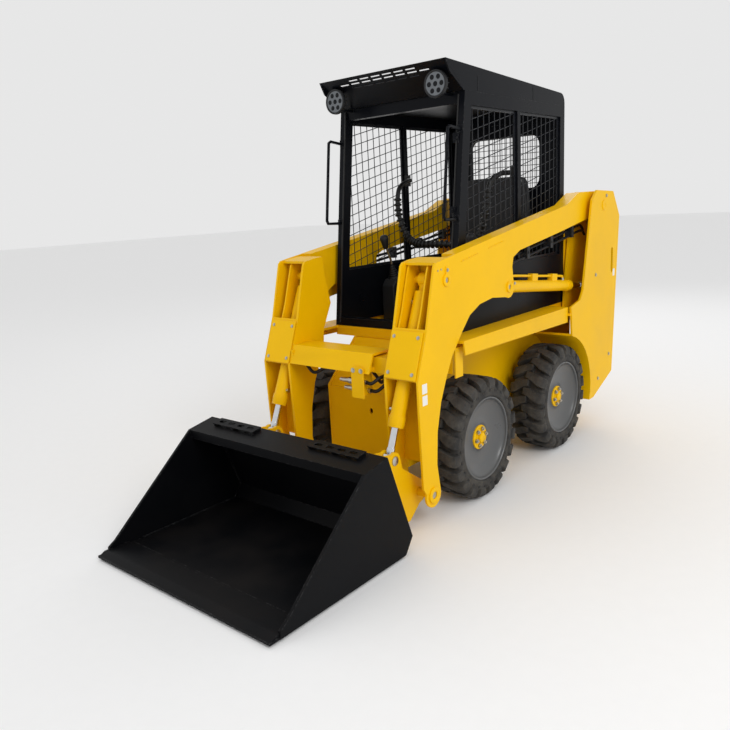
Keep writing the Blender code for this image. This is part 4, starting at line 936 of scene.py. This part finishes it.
class LOADER_OT_arms(bpy.types.Operator):
    """Lift arms with pin keepers, yoke plates, cover plates, welds, lines and labels"""

    bl_idname = "loader.arms"
    bl_label = "Lift arms"

    def execute(self, context):
        for name, side in SIDES:
            recast(f"lift_arm_{name}", *YELLOW)
            self.keepers(name, side)
            self.leg_plates(name, side)
            self.lines(name, side)
        return {"FINISHED"}

    def keepers(self, name, side):
        """Pin ends, their keeper tabs and bolts on the arm's outer face."""
        ring = bmesh.new()
        for (y, z), radius in ((TILT_PIN, 0.027), (LIFT_PIN, 0.026), (COUPLER_PIN, 0.036)):
            place = facing(spot(side * ARM_OUTER_X, y, z), (side, 0, 0))
            lathe(ring, [(-0.004, radius * 0.45), (0.006, radius * 0.45), (0.0075, radius * 0.55),
                         (0.0075, radius * 0.92),
                         (0.006, radius), (-0.004, radius)], place, 40, closed=True)
        tab = oblong((TILT_PIN[0] + 0.004, TILT_PIN[1] + 0.036), 0.010, 0.011, 90)
        low, high = span(side, ARM_OUTER_X - 0.002, ARM_OUTER_X + 0.005)
        slab(ring, tab, low, high)
        tab = oblong((LIFT_PIN[0] + 0.036, LIFT_PIN[1] + 0.010), 0.014, 0.010, 15)
        slab(ring, tab, low, high)
        piece(ring, f"pin_collars_{name}", "lift_arms", *YELLOW, bevel=0.0006)
        pins = bmesh.new()
        for (y, z), radius in ((TILT_PIN, 0.0125), (LIFT_PIN, 0.012), (COUPLER_PIN, 0.0165)):
            place = facing(spot(side * ARM_OUTER_X, y, z), (side, 0, 0))
            lathe(pins, [(-0.006, 0.0), (-0.006, radius), (0.001, radius), (0.0025, radius - 0.002),
                         (0.0025, radius * 0.3), (0.001, radius * 0.25), (0.001, 0.0)], place, 28)
        bolt(pins, spot(side * (ARM_OUTER_X + 0.005), TILT_PIN[0] + 0.004, TILT_PIN[1] + 0.042),
             (side, 0, 0), 0.006)
        bolt(pins, spot(side * (ARM_OUTER_X + 0.005), LIFT_PIN[0] + 0.046, LIFT_PIN[1] + 0.013),
             (side, 0, 0), 0.006)
        bolt(pins, spot(side * ARM_OUTER_X, -0.716, 1.108), (side, 0, 0), 0.003)
        bolt(pins, spot(side * ARM_OUTER_X, -0.740, 1.105), (side, 0, 0), 0.003)
        piece(pins, f"pin_ends_{name}", "lift_arms", *PINS)

    def leg_plates(self, name, side):
        """Yoke plates beside the tilt cylinder, the bolted cover below them, welds and labels."""
        yoke = bmesh.new()
        for x in (0.303, 0.402):
            low, high = span(side, x, x + 0.008)
            outline = ([(-0.640, 0.850), (-0.655, 1.080)] + arc((-0.700, 1.098), 0.040, 20, 160, 6)
                       + [(-0.795, 0.930), (-0.828, 0.850)])
            slab(yoke, outline, low, high)
        piece(yoke, f"yoke_plates_{name}", "lift_arms", *YELLOW, bevel=0.001)
        cover = bmesh.new()
        low, high = span(side, LEG_INNER_X + 0.004, ARM_OUTER_X - 0.012)
        bottom, top = Vector((-0.9085, 0.671)), Vector((-0.838, 0.862))
        out = Vector((-(top - bottom).y, (top - bottom).x)).normalized() * 0.0045
        slab(cover, [tuple(bottom), tuple(top), tuple(top + out), tuple(bottom + out)], low, high)
        piece(cover, f"leg_cover_{name}", "lift_arms", *YELLOW, bevel=0.0015)
        bolts = bmesh.new()
        for share in (0.12, 0.88):
            for x in (LEG_INNER_X + 0.022, ARM_OUTER_X - 0.032):
                at = bottom + (top - bottom) * share + out
                bolt(bolts, spot(side * x, at.x, at.y), (0, out.x, out.y), 0.006)
        piece(bolts, f"leg_cover_bolts_{name}", "lift_arms", "zinc_plate")
        weld = bmesh.new()
        x = side * ARM_OUTER_X
        for start, end in (((-0.560, 1.158), (-0.420, 1.181)), ((-0.330, 1.196), (-0.190, 1.219))):
            for i in range(WELD_BEADS):
                y = start[0] + (end[0] - start[0]) * i / WELD_BEADS
                z = start[1] + (end[1] - start[1]) * i / WELD_BEADS - 0.030
                bmesh.ops.create_icosphere(weld, subdivisions=1, radius=WELD_BEAD_RADIUS,
                                           matrix=Matrix.Translation(spot(x, y, z)))
        piece(weld, f"weld_beads_{name}", "lift_arms", *YELLOW)
        label = bmesh.new()
        low, high = span(side, ARM_OUTER_X, ARM_OUTER_X + 0.0006)
        for z in (0.610, 0.560):
            slab(label, [(-0.880, z), (-0.845, z), (-0.845, z + 0.042), (-0.880, z + 0.042)], low, high)
        piece(label, f"arm_labels_{name}", "lift_arms", "blank_label")

    def lines(self, name, side):
        """Two hydraulic lines under the arm, bent at both ends and held by clamps."""
        lines = bmesh.new()
        for k, drop in enumerate((0.018, 0.046)):
            x = side * (0.418 + 0.010 * k)
            run = [(-0.050, 1.120), (0.060, 1.132), (0.240, 1.156), (0.420, 1.180), (0.600, 1.206),
                   (0.700, 1.221)]
            points = [spot(x, y, z - drop) for y, z in run]
            start = [spot(x, -0.100, 1.060 - drop), spot(x, -0.085, 1.090 - drop * 0.5)]
            tail = [spot(x - side * 0.004, 0.780, 1.225 - drop), spot(x - side * 0.010, 0.830, 1.200 - drop)]
            pipe(lines, start + points + tail, LINE_RADIUS, 12)
        piece(lines, f"hydraulic_lines_{name}", "lift_arms", *BLACK)
        clamps = bmesh.new()
        for y, z in ((0.10, 1.106), (0.36, 1.140), (0.62, 1.177)):
            low, high = span(side, 0.400, 0.442)
            block(clamps, spot(low, y - 0.014, z - 0.026), spot(high, y + 0.014, z + 0.036))
            bolt(clamps, spot(side * 0.442, y, z + 0.004), (side, 0, 0), 0.006)
        piece(clamps, f"line_clamps_{name}", "lift_arms", *PLASTIC, bevel=0.002)


class LOADER_OT_front_beam(bpy.types.Operator):
    """Cross beam, the bracket with its two quick couplings, and the hoses to the tilt cylinders"""

    bl_idname = "loader.front_beam"
    bl_label = "Front beam"

    def execute(self, context):
        recast("cross_beam", *YELLOW, bevel=0.001)
        plate = bmesh.new()
        slab(plate, [(0.105, 0.560), (0.175, 0.560), (0.175, 0.692), (0.165, 0.700), (0.115, 0.700),
                     (0.105, 0.692)],
             -0.912, -0.9063, "y")
        block(plate, spot(0.150, -0.910, 0.566), spot(0.156, -0.830, 0.667))
        piece(plate, "quick_coupling_plate", "lift_arms", *YELLOW,
              ("quick_coupler_bracket",), bevel=0.0008)
        couplings = bmesh.new()
        for y, z in ((-0.885, 0.628), (-0.858, 0.585)):
            place = facing(spot(0.170, y, z), (-1, 0, 0))
            lathe(couplings, [(0.0, 0.0), (0.0, 0.011), (0.014, 0.011), (0.016, 0.0135), (0.030, 0.0135),
                              (0.032, 0.010),
                              (0.040, 0.010), (0.042, 0.014), (0.078, 0.014), (0.081, 0.0125),
                              (0.084, 0.0145),
                              (0.100, 0.0145), (0.103, 0.011), (0.128, 0.011), (0.131, 0.009), (0.150, 0.009),
                              (0.150, 0.0)], place, 28)
            bar(couplings, place @ Vector((0.030, 0, 0)), place @ Vector((0.044, 0, 0)), 0.0165, 6)
        for x in (0.118, 0.162):
            bolt(couplings, spot(x, -0.912, 0.684), (0, -1, 0), 0.008)
        piece(couplings, "quick_couplings", "lift_arms", *PINS, bevel=0.0003)
        hoses = bmesh.new()
        pipe(hoses, [spot(0.168, -0.885, 0.628), spot(0.200, -0.884, 0.628), spot(0.225, -0.860, 0.650),
                     spot(0.235, -0.800, 0.652), spot(0.250, -0.735, 0.650)], HOSE_RADIUS, 12)
        pipe(hoses, [spot(0.168, -0.858, 0.585), spot(0.205, -0.856, 0.588), spot(0.235, -0.830, 0.618),
                     spot(0.240, -0.780, 0.640), spot(0.246, -0.735, 0.640)], HOSE_RADIUS, 12)
        for side in (1, -1):
            pipe(hoses, [spot(side * 0.275, -0.800, 0.655), spot(side * 0.240, -0.830, 0.648),
                         spot(side * 0.205, -0.825, 0.620), spot(side * 0.160, -0.805, 0.640),
                         spot(side * 0.120, -0.790, 0.660)], HOSE_RADIUS, 12)
        piece(hoses, "front_hoses", "lift_arms", *HOSE)
        return {"FINISHED"}


class LOADER_OT_cylinders(bpy.types.Operator):
    """Hydraulic cylinders: painted barrels with gland nuts and ports, and chromed rods"""

    bl_idname = "loader.cylinders"
    bl_label = "Cylinders"

    def execute(self, context):
        for name, side in SIDES:
            recast(f"lift_barrel_{name}", *YELLOW)
            recast(f"tilt_barrel_{name}", *YELLOW)
            for kind, pin, foot, across, (length, radius) in (
                    ("lift", LIFT_PIN, LIFT_FOOT, LIFT_X, LIFT_BARREL),
                    ("tilt", TILT_PIN, TILT_FOOT, TILT_X, TILT_BARREL)):
                recast(f"{kind}_rod_{name}", "chromed_rod", "rod_chrome")
                x = side * across
                start, end = spot(x, *pin), spot(x, *foot)
                along = (end - start).normalized()
                gland = bmesh.new()
                place = facing(start + along * (length - GLAND_LENGTH), along)
                inner = GLAND_BORE
                lathe(gland, [(0.0, radius), (0.0, radius + 0.003), (0.040, radius + 0.003),
                              (0.044, radius + 0.001),
                              (0.050, radius + 0.001), (0.0515, radius - 0.002), (0.0515, inner),
                              (0.046, inner),
                              (0.046, radius - 0.004), (0.0, radius - 0.004)], place, 40, closed=True)
                piece(gland, f"{kind}_gland_{name}", f"{kind}_barrel_{name}", *YELLOW)
                if kind == "lift":
                    feed = bmesh.new()
                    up = Vector((0, 0, 1))
                    rise = [start + along * d + up * h for d, h in
                            ((0.076, 0.030), (0.078, 0.044), (0.100, 0.052), (0.400, 0.052), (0.660, 0.052),
                             (0.682, 0.046), (0.685, 0.030))]
                    pipe(feed, rise, 0.0065, 12, 4)
                    for d in (0.330, 0.560):
                        at = start + along * d + up * 0.030
                        block_at(feed, facing(at, along), (-0.030, -0.014, -0.006), (0.030, 0.014, 0.034))
                    piece(feed, f"lift_feed_pipe_{name}", f"lift_barrel_{name}", *YELLOW, bevel=0.0006)
                ports = bmesh.new()
                out = Vector((-side, 0, 0)) if kind == "tilt" else Vector((0, 0, 1))
                for share in (0.100, length - 0.075):
                    at = start + along * share
                    bar(ports, at + out * (radius - 0.004), at + out * (radius + 0.012), 0.009, 20)
                piece(ports, f"{kind}_ports_{name}", f"{kind}_barrel_{name}", "zinc_plate")
        return {"FINISHED"}


class LOADER_OT_bucket(bpy.types.Operator):
    """Bucket, its coupler, perforated step plates, cutting edge, side welds and pin heads"""

    bl_idname = "loader.bucket"
    bl_label = "Bucket"

    def execute(self, context):
        recast("bucket", *BUCKET, bevel=0.0015)
        recast("coupler_frame", *YELLOW, bevel=0.0015)
        body = "bucket_assembly"
        back, front = Vector((-1.204, 0.452)), Vector((-1.341, 0.427))
        run = (back - front).normalized()
        up = Vector((-run.y, run.x))
        tilt = Matrix.Rotation(math.atan2(run.y, run.x), 4, "X")
        steps = bmesh.new()
        holes = bmesh.new()
        for x in (-STEP_X, STEP_X):
            middle = front + run * 0.100 + up * 0.012
            block(steps, spot(x, middle.x, middle.y) - Vector((0.135, 0.028, 0.002)),
                  spot(x, middle.x, middle.y) + Vector((0.135, 0.028, 0.002)), tilt)
            for end in (-0.128, 0.0, 0.128):
                foot = front + run * 0.100 + up * 0.005
                block(steps, spot(x + end, foot.x, foot.y) - Vector((0.004, 0.024, 0.0065)),
                      spot(x + end, foot.x, foot.y) + Vector((0.004, 0.024, 0.0065)), tilt)
            for k in range(STEP_HOLES):
                at = spot(x + (k - (STEP_HOLES - 1) / 2) * STEP_HOLE_PITCH, middle.x, middle.y)
                place = Matrix.Translation(at) @ tilt
                outline = oblong((0.0, 0.0), 0.012, 0.009)
                lows = [holes.verts.new(place @ Vector((a, b, -0.010))) for a, b in outline]
                highs = [holes.verts.new(place @ Vector((a, b, 0.010))) for a, b in outline]
                holes.faces.new(lows[::-1])
                holes.faces.new(highs)
                for i in range(len(outline)):
                    j = (i + 1) % len(outline)
                    holes.faces.new((lows[i], lows[j], highs[j], highs[i]))
        bmesh.ops.recalc_face_normals(steps, faces=steps.faces)
        made = loose(steps, "step_plates")
        carved(made, holes)
        dress(made, body, *BUCKET, (), FINE, 2, 35.0)
        edge = bmesh.new()
        half = BUCKET_HALF_WIDTH - 0.014
        slab(edge, [(-1.838, 0.0212), (-1.700, 0.0212), (-1.695, 0.0242), (-1.832, 0.0242)], -half, half)
        for i in range(7):
            x = -0.45 + 0.15 * i
            bar(edge, spot(x, -1.745, 0.022), spot(x, -1.745, 0.0275), 0.010, 20)
        piece(edge, "cutting_edge", body, *BUCKET, bevel=FINE)
        welds = bmesh.new()
        for x in (-half + 0.001, half - 0.001):
            line = [(-1.650, 0.022), (-1.130, 0.022), (-1.085, 0.080), (-1.210, 0.432)]
            pipe(welds, [spot(x, y, z) for y, z in line], 0.0045, 8, 1)
        piece(welds, "bucket_welds", body, *BUCKET)
        pins = bmesh.new()
        for side in (1, -1):
            for offset in (-0.0313, 0.0313):
                x = side * TILT_X + offset
                out = 1 if offset > 0 else -1
                lathe(pins, [(0.0, 0.0), (0.0, 0.020), (0.004, 0.020), (0.006, 0.017), (0.006, 0.0)],
                      facing(spot(x, *TILT_FOOT), (out, 0, 0)), 28)
        piece(pins, "coupler_pin_heads", body, *PINS)
        return {"FINISHED"}


class LOADER_OT_wheels(bpy.types.Operator):
    """Tyres with chevron lugs, dished rims, hubs and wheel nuts"""

    bl_idname = "loader.wheels"
    bl_label = "Wheels"

    def execute(self, context):
        sizes = context.scene.loader_sizes
        for name in WHEELS:
            low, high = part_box("tyre_" + name)
            side = 1 if low.x > 0 else -1
            centre = Vector((low.x if side > 0 else high.x, (low.y + high.y) / 2, (low.z + high.z) / 2))
            place = facing(centre, (side, 0, 0))
            radius, body = (high.z - low.z) / 2, "wheel_" + name
            tyre = bmesh.new()
            lathe(tyre, [(0.006, 0.199), (0.001, 0.206), (0.004, 0.222), (0.006, 0.240), (0.012, 0.250),
                         (0.026, radius - 0.031), (0.060, radius - 0.027), (0.140, radius - 0.027),
                         (0.174, radius - 0.031), (0.188, 0.250), (0.194, 0.240), (0.196, 0.222),
                         (0.199, 0.206),
                         (0.194, 0.199)], place, 96, closed=True)
            top = [(0.088, radius), (0.118, radius), (0.150, radius - 0.0005), (0.178, radius - 0.003),
                   (0.193, radius - 0.013), (0.1995, radius - 0.030), (0.1995, radius - 0.046),
                   (0.197, radius - 0.054)]
            foot = [(0.088, radius - sizes.lug_height), (0.118, radius - sizes.lug_height),
                    (0.150, radius - sizes.lug_height), (0.172, radius - 0.034), (0.182, radius - 0.042),
                    (0.186, radius - 0.048), (0.190, radius - 0.054), (0.192, radius - 0.058)]
            turn = [0.000, 0.020, 0.085, 0.115, 0.125, 0.125, 0.125, 0.125]
            half = [0.062, 0.078, 0.092, 0.098, 0.100, 0.100, 0.092, 0.072]
            for mirror in (0, 1):
                for i in range(sizes.lug_count):
                    start = 2 * math.pi * (i + 0.5 * mirror) / sizes.lug_count
                    lug(tyre, place, top, foot, turn, half, start, mirror)
            piece(tyre, f"tyre_{name}_finished", body, "tyre_rubber", "tyre_rubber", ("tyre_" + name,),
                  bevel=0.0025, sharp=32.0)
            # Painted shade: the sidewall holes are not cut into the tyre. Each is a thin disc with a small
            # lip, in the darker hose cover finish, laid on the wall as the shade inside a hole.
            hole_shade_discs = bmesh.new()
            for i in range(WALL_HOLES):
                a = 2 * math.pi * i / WALL_HOLES
                hole = place @ Matrix.Translation((0.1955, WALL_HOLE_RING * math.cos(a),
                                                    WALL_HOLE_RING * math.sin(a)))
                lathe(hole_shade_discs, [(0.000, 0.0), (0.0001, 0.0058), (0.0012, 0.0065), (0.0012, 0.0078),
                              (-0.002, 0.0082),
                              (-0.002, 0.0)], hole, 16)
            piece(hole_shade_discs, f"tyre_wall_hole_shades_{name}", body, "hose_cover", "tyre_rubber")
            rim = bmesh.new()
            lathe(rim, [(0.150, 0.0), (0.150, 0.060), (0.1465, 0.064), (0.1425, 0.080), (0.1435, 0.100),
                        (0.147, 0.124),
                        (0.154, 0.150), (0.165, 0.172), (0.176, 0.184), (0.184, 0.1885), (0.189, 0.1885),
                        (0.193, 0.1915), (0.193, 0.1965), (0.189, 0.1984), (0.007, 0.1984), (0.007, 0.188),
                        (0.128, 0.178), (0.138, 0.080), (0.066, 0.075), (0.066, 0.0)], place, 96)
            piece(rim, f"rim_{name}_finished", body, "rim_enamel", "rim_paint", ("rim_" + name,), bevel=0.001)
            hub = bmesh.new()
            lathe(hub, [(0.148, 0.0), (0.148, 0.058), (0.1555, 0.058), (0.157, 0.056), (0.157, 0.027),
                        (0.159, 0.025),
                        (0.169, 0.024), (0.172, 0.020), (0.173, 0.0)], place, 48)
            piece(hub, f"hub_{name}", body, *YELLOW, bevel=FINE)
            nuts = bmesh.new()
            for i in range(WHEEL_NUTS):
                a = 2 * math.pi / WHEEL_NUTS * i + WHEEL_NUT_TURN
                at = Vector((0.157, WHEEL_NUT_RING * math.cos(a), WHEEL_NUT_RING * math.sin(a)))
                bar(nuts, place @ at, place @ (at + Vector((0.010, 0, 0))), 0.0105, 6)
                bar(nuts, place @ at, place @ (at + Vector((0.016, 0, 0))), 0.0058, 12)
            piece(nuts, f"wheel_nuts_{name}", body, "zinc_plate", bevel=0.0006)
        return {"FINISHED"}


def lug(shape, place, top, foot, turn, half, start, mirror):
    """One tread lug: a block that sweeps from the tread's middle over the shoulder."""
    rings = []
    for (top_x, top_r), (foot_x, foot_r), swing, width in zip(top, foot, turn, half):
        if mirror:
            top_x, foot_x = 0.2 - top_x, 0.2 - foot_x
        ring = []
        for x, r, spread in ((foot_x, foot_r, -TREAD_SHOULDER_SPREAD), (top_x, top_r, -1.0),
                             (top_x, top_r, 1.0), (foot_x, foot_r, TREAD_SHOULDER_SPREAD)):
            a = start + swing + spread * width
            ring.append(shape.verts.new(place @ Vector((x, r * math.cos(a), r * math.sin(a)))))
        rings.append(ring)
    for first, second in zip(rings, rings[1:]):
        for k in range(4):
            j = (k + 1) % 4
            shape.faces.new((first[k], first[j], second[j], second[k]))
    shape.faces.new(rings[0])
    shape.faces.new(rings[-1][::-1])


class LOADER_OT_stage(bpy.types.Operator):
    """Pale floor, soft studio light and the camera"""

    bl_idname = "loader.stage"
    bl_label = "Stage"

    def execute(self, context):
        scene = context.scene
        scene.view_settings.view_transform = "Standard"
        shape = bmesh.new()
        bmesh.ops.create_grid(shape, x_segments=1, y_segments=1, size=FLOOR_SIZE)
        mesh = bpy.data.meshes.new("floor")
        shape.to_mesh(mesh)
        shape.free()
        floor = bpy.data.objects.new("floor", mesh)
        mesh.materials.append(finish("studio_floor"))
        scene.collection.objects.link(floor)
        world = bpy.data.worlds.new("studio")
        world.use_nodes = True
        background = world.node_tree.nodes["Background"]
        background.inputs["Color"].default_value = (1.0, 1.0, 1.0, 1.0)
        background.inputs["Strength"].default_value = SKY_STRENGTH
        scene.world = world
        target = Vector((0.0, 0.0, 0.8))
        for name, place, size, power in (("key", (5.2, -2.4, 4.5), 2.5, KEY_POWER),
                                         ("back", (-1.5, 5.5, 4.5), 3.0, BACK_POWER)):
            light = bpy.data.lights.new(name, "AREA")
            light.size = size
            light.energy = power
            lamp = bpy.data.objects.new(name, light)
            lamp.location = place
            lamp.rotation_euler = (target - Vector(place)).to_track_quat("-Z", "Y").to_euler()
            scene.collection.objects.link(lamp)
        yaw, pitch, roll = (math.radians(a) for a in CAMERA_TURN)
        ahead = Vector((-math.sin(yaw) * math.cos(pitch), math.cos(yaw) * math.cos(pitch), math.sin(pitch)))
        right = Vector((math.cos(yaw), math.sin(yaw), 0.0))
        up = right.cross(ahead)
        across = right * math.cos(roll) + up * math.sin(roll)
        upward = up * math.cos(roll) - right * math.sin(roll)
        lens = bpy.data.cameras.new("camera")
        lens.lens, lens.sensor_width = CAMERA_LENS, SENSOR_WIDTH
        camera = bpy.data.objects.new("camera", lens)
        camera.matrix_world = Matrix.Translation(CAMERA_PLACE) @ Matrix(
            (across, upward, -ahead)).transposed().to_4x4()
        scene.collection.objects.link(camera)
        scene.camera = camera
        return {"FINISHED"}


PIECES = (LOADER_OT_body, LOADER_OT_running_gear, LOADER_OT_cab, LOADER_OT_screens, LOADER_OT_lights,
          LOADER_OT_seat,
          LOADER_OT_controls, LOADER_OT_arms, LOADER_OT_front_beam, LOADER_OT_cylinders, LOADER_OT_bucket,
          LOADER_OT_wheels, LOADER_OT_stage)


class LOADER_PT_panel(bpy.types.Panel):
    """Lists the loader's pieces, colours and sizes in the 3D view's sidebar"""

    bl_idname = "LOADER_PT_panel"
    bl_label = "Skid Steer Loader"
    bl_space_type = "VIEW_3D"
    bl_region_type = "UI"
    bl_category = "Loader"

    def draw(self, context):
        for name in LoaderColours.__annotations__:
            self.layout.prop(context.scene.loader_colours, name)
        for name in LoaderSizes.__annotations__:
            self.layout.prop(context.scene.loader_sizes, name)
        for operator in PIECES:
            self.layout.operator(operator.bl_idname)


CLASSES = (LoaderColours, LoaderSizes, *PIECES, LOADER_PT_panel)


def register():
    for cls in CLASSES:
        bpy.utils.register_class(cls)
    bpy.types.Scene.loader_colours = bpy.props.PointerProperty(type=LoaderColours)
    bpy.types.Scene.loader_sizes = bpy.props.PointerProperty(type=LoaderSizes)


def unregister():
    del bpy.types.Scene.loader_sizes
    del bpy.types.Scene.loader_colours
    for cls in reversed(CLASSES):
        bpy.utils.unregister_class(cls)


def main():
    """Makes every piece."""
    register()
    for operator in PIECES:
        group, name = operator.bl_idname.split(".")
        getattr(getattr(bpy.ops, group), name)()


if __name__ == "__main__":
    main()
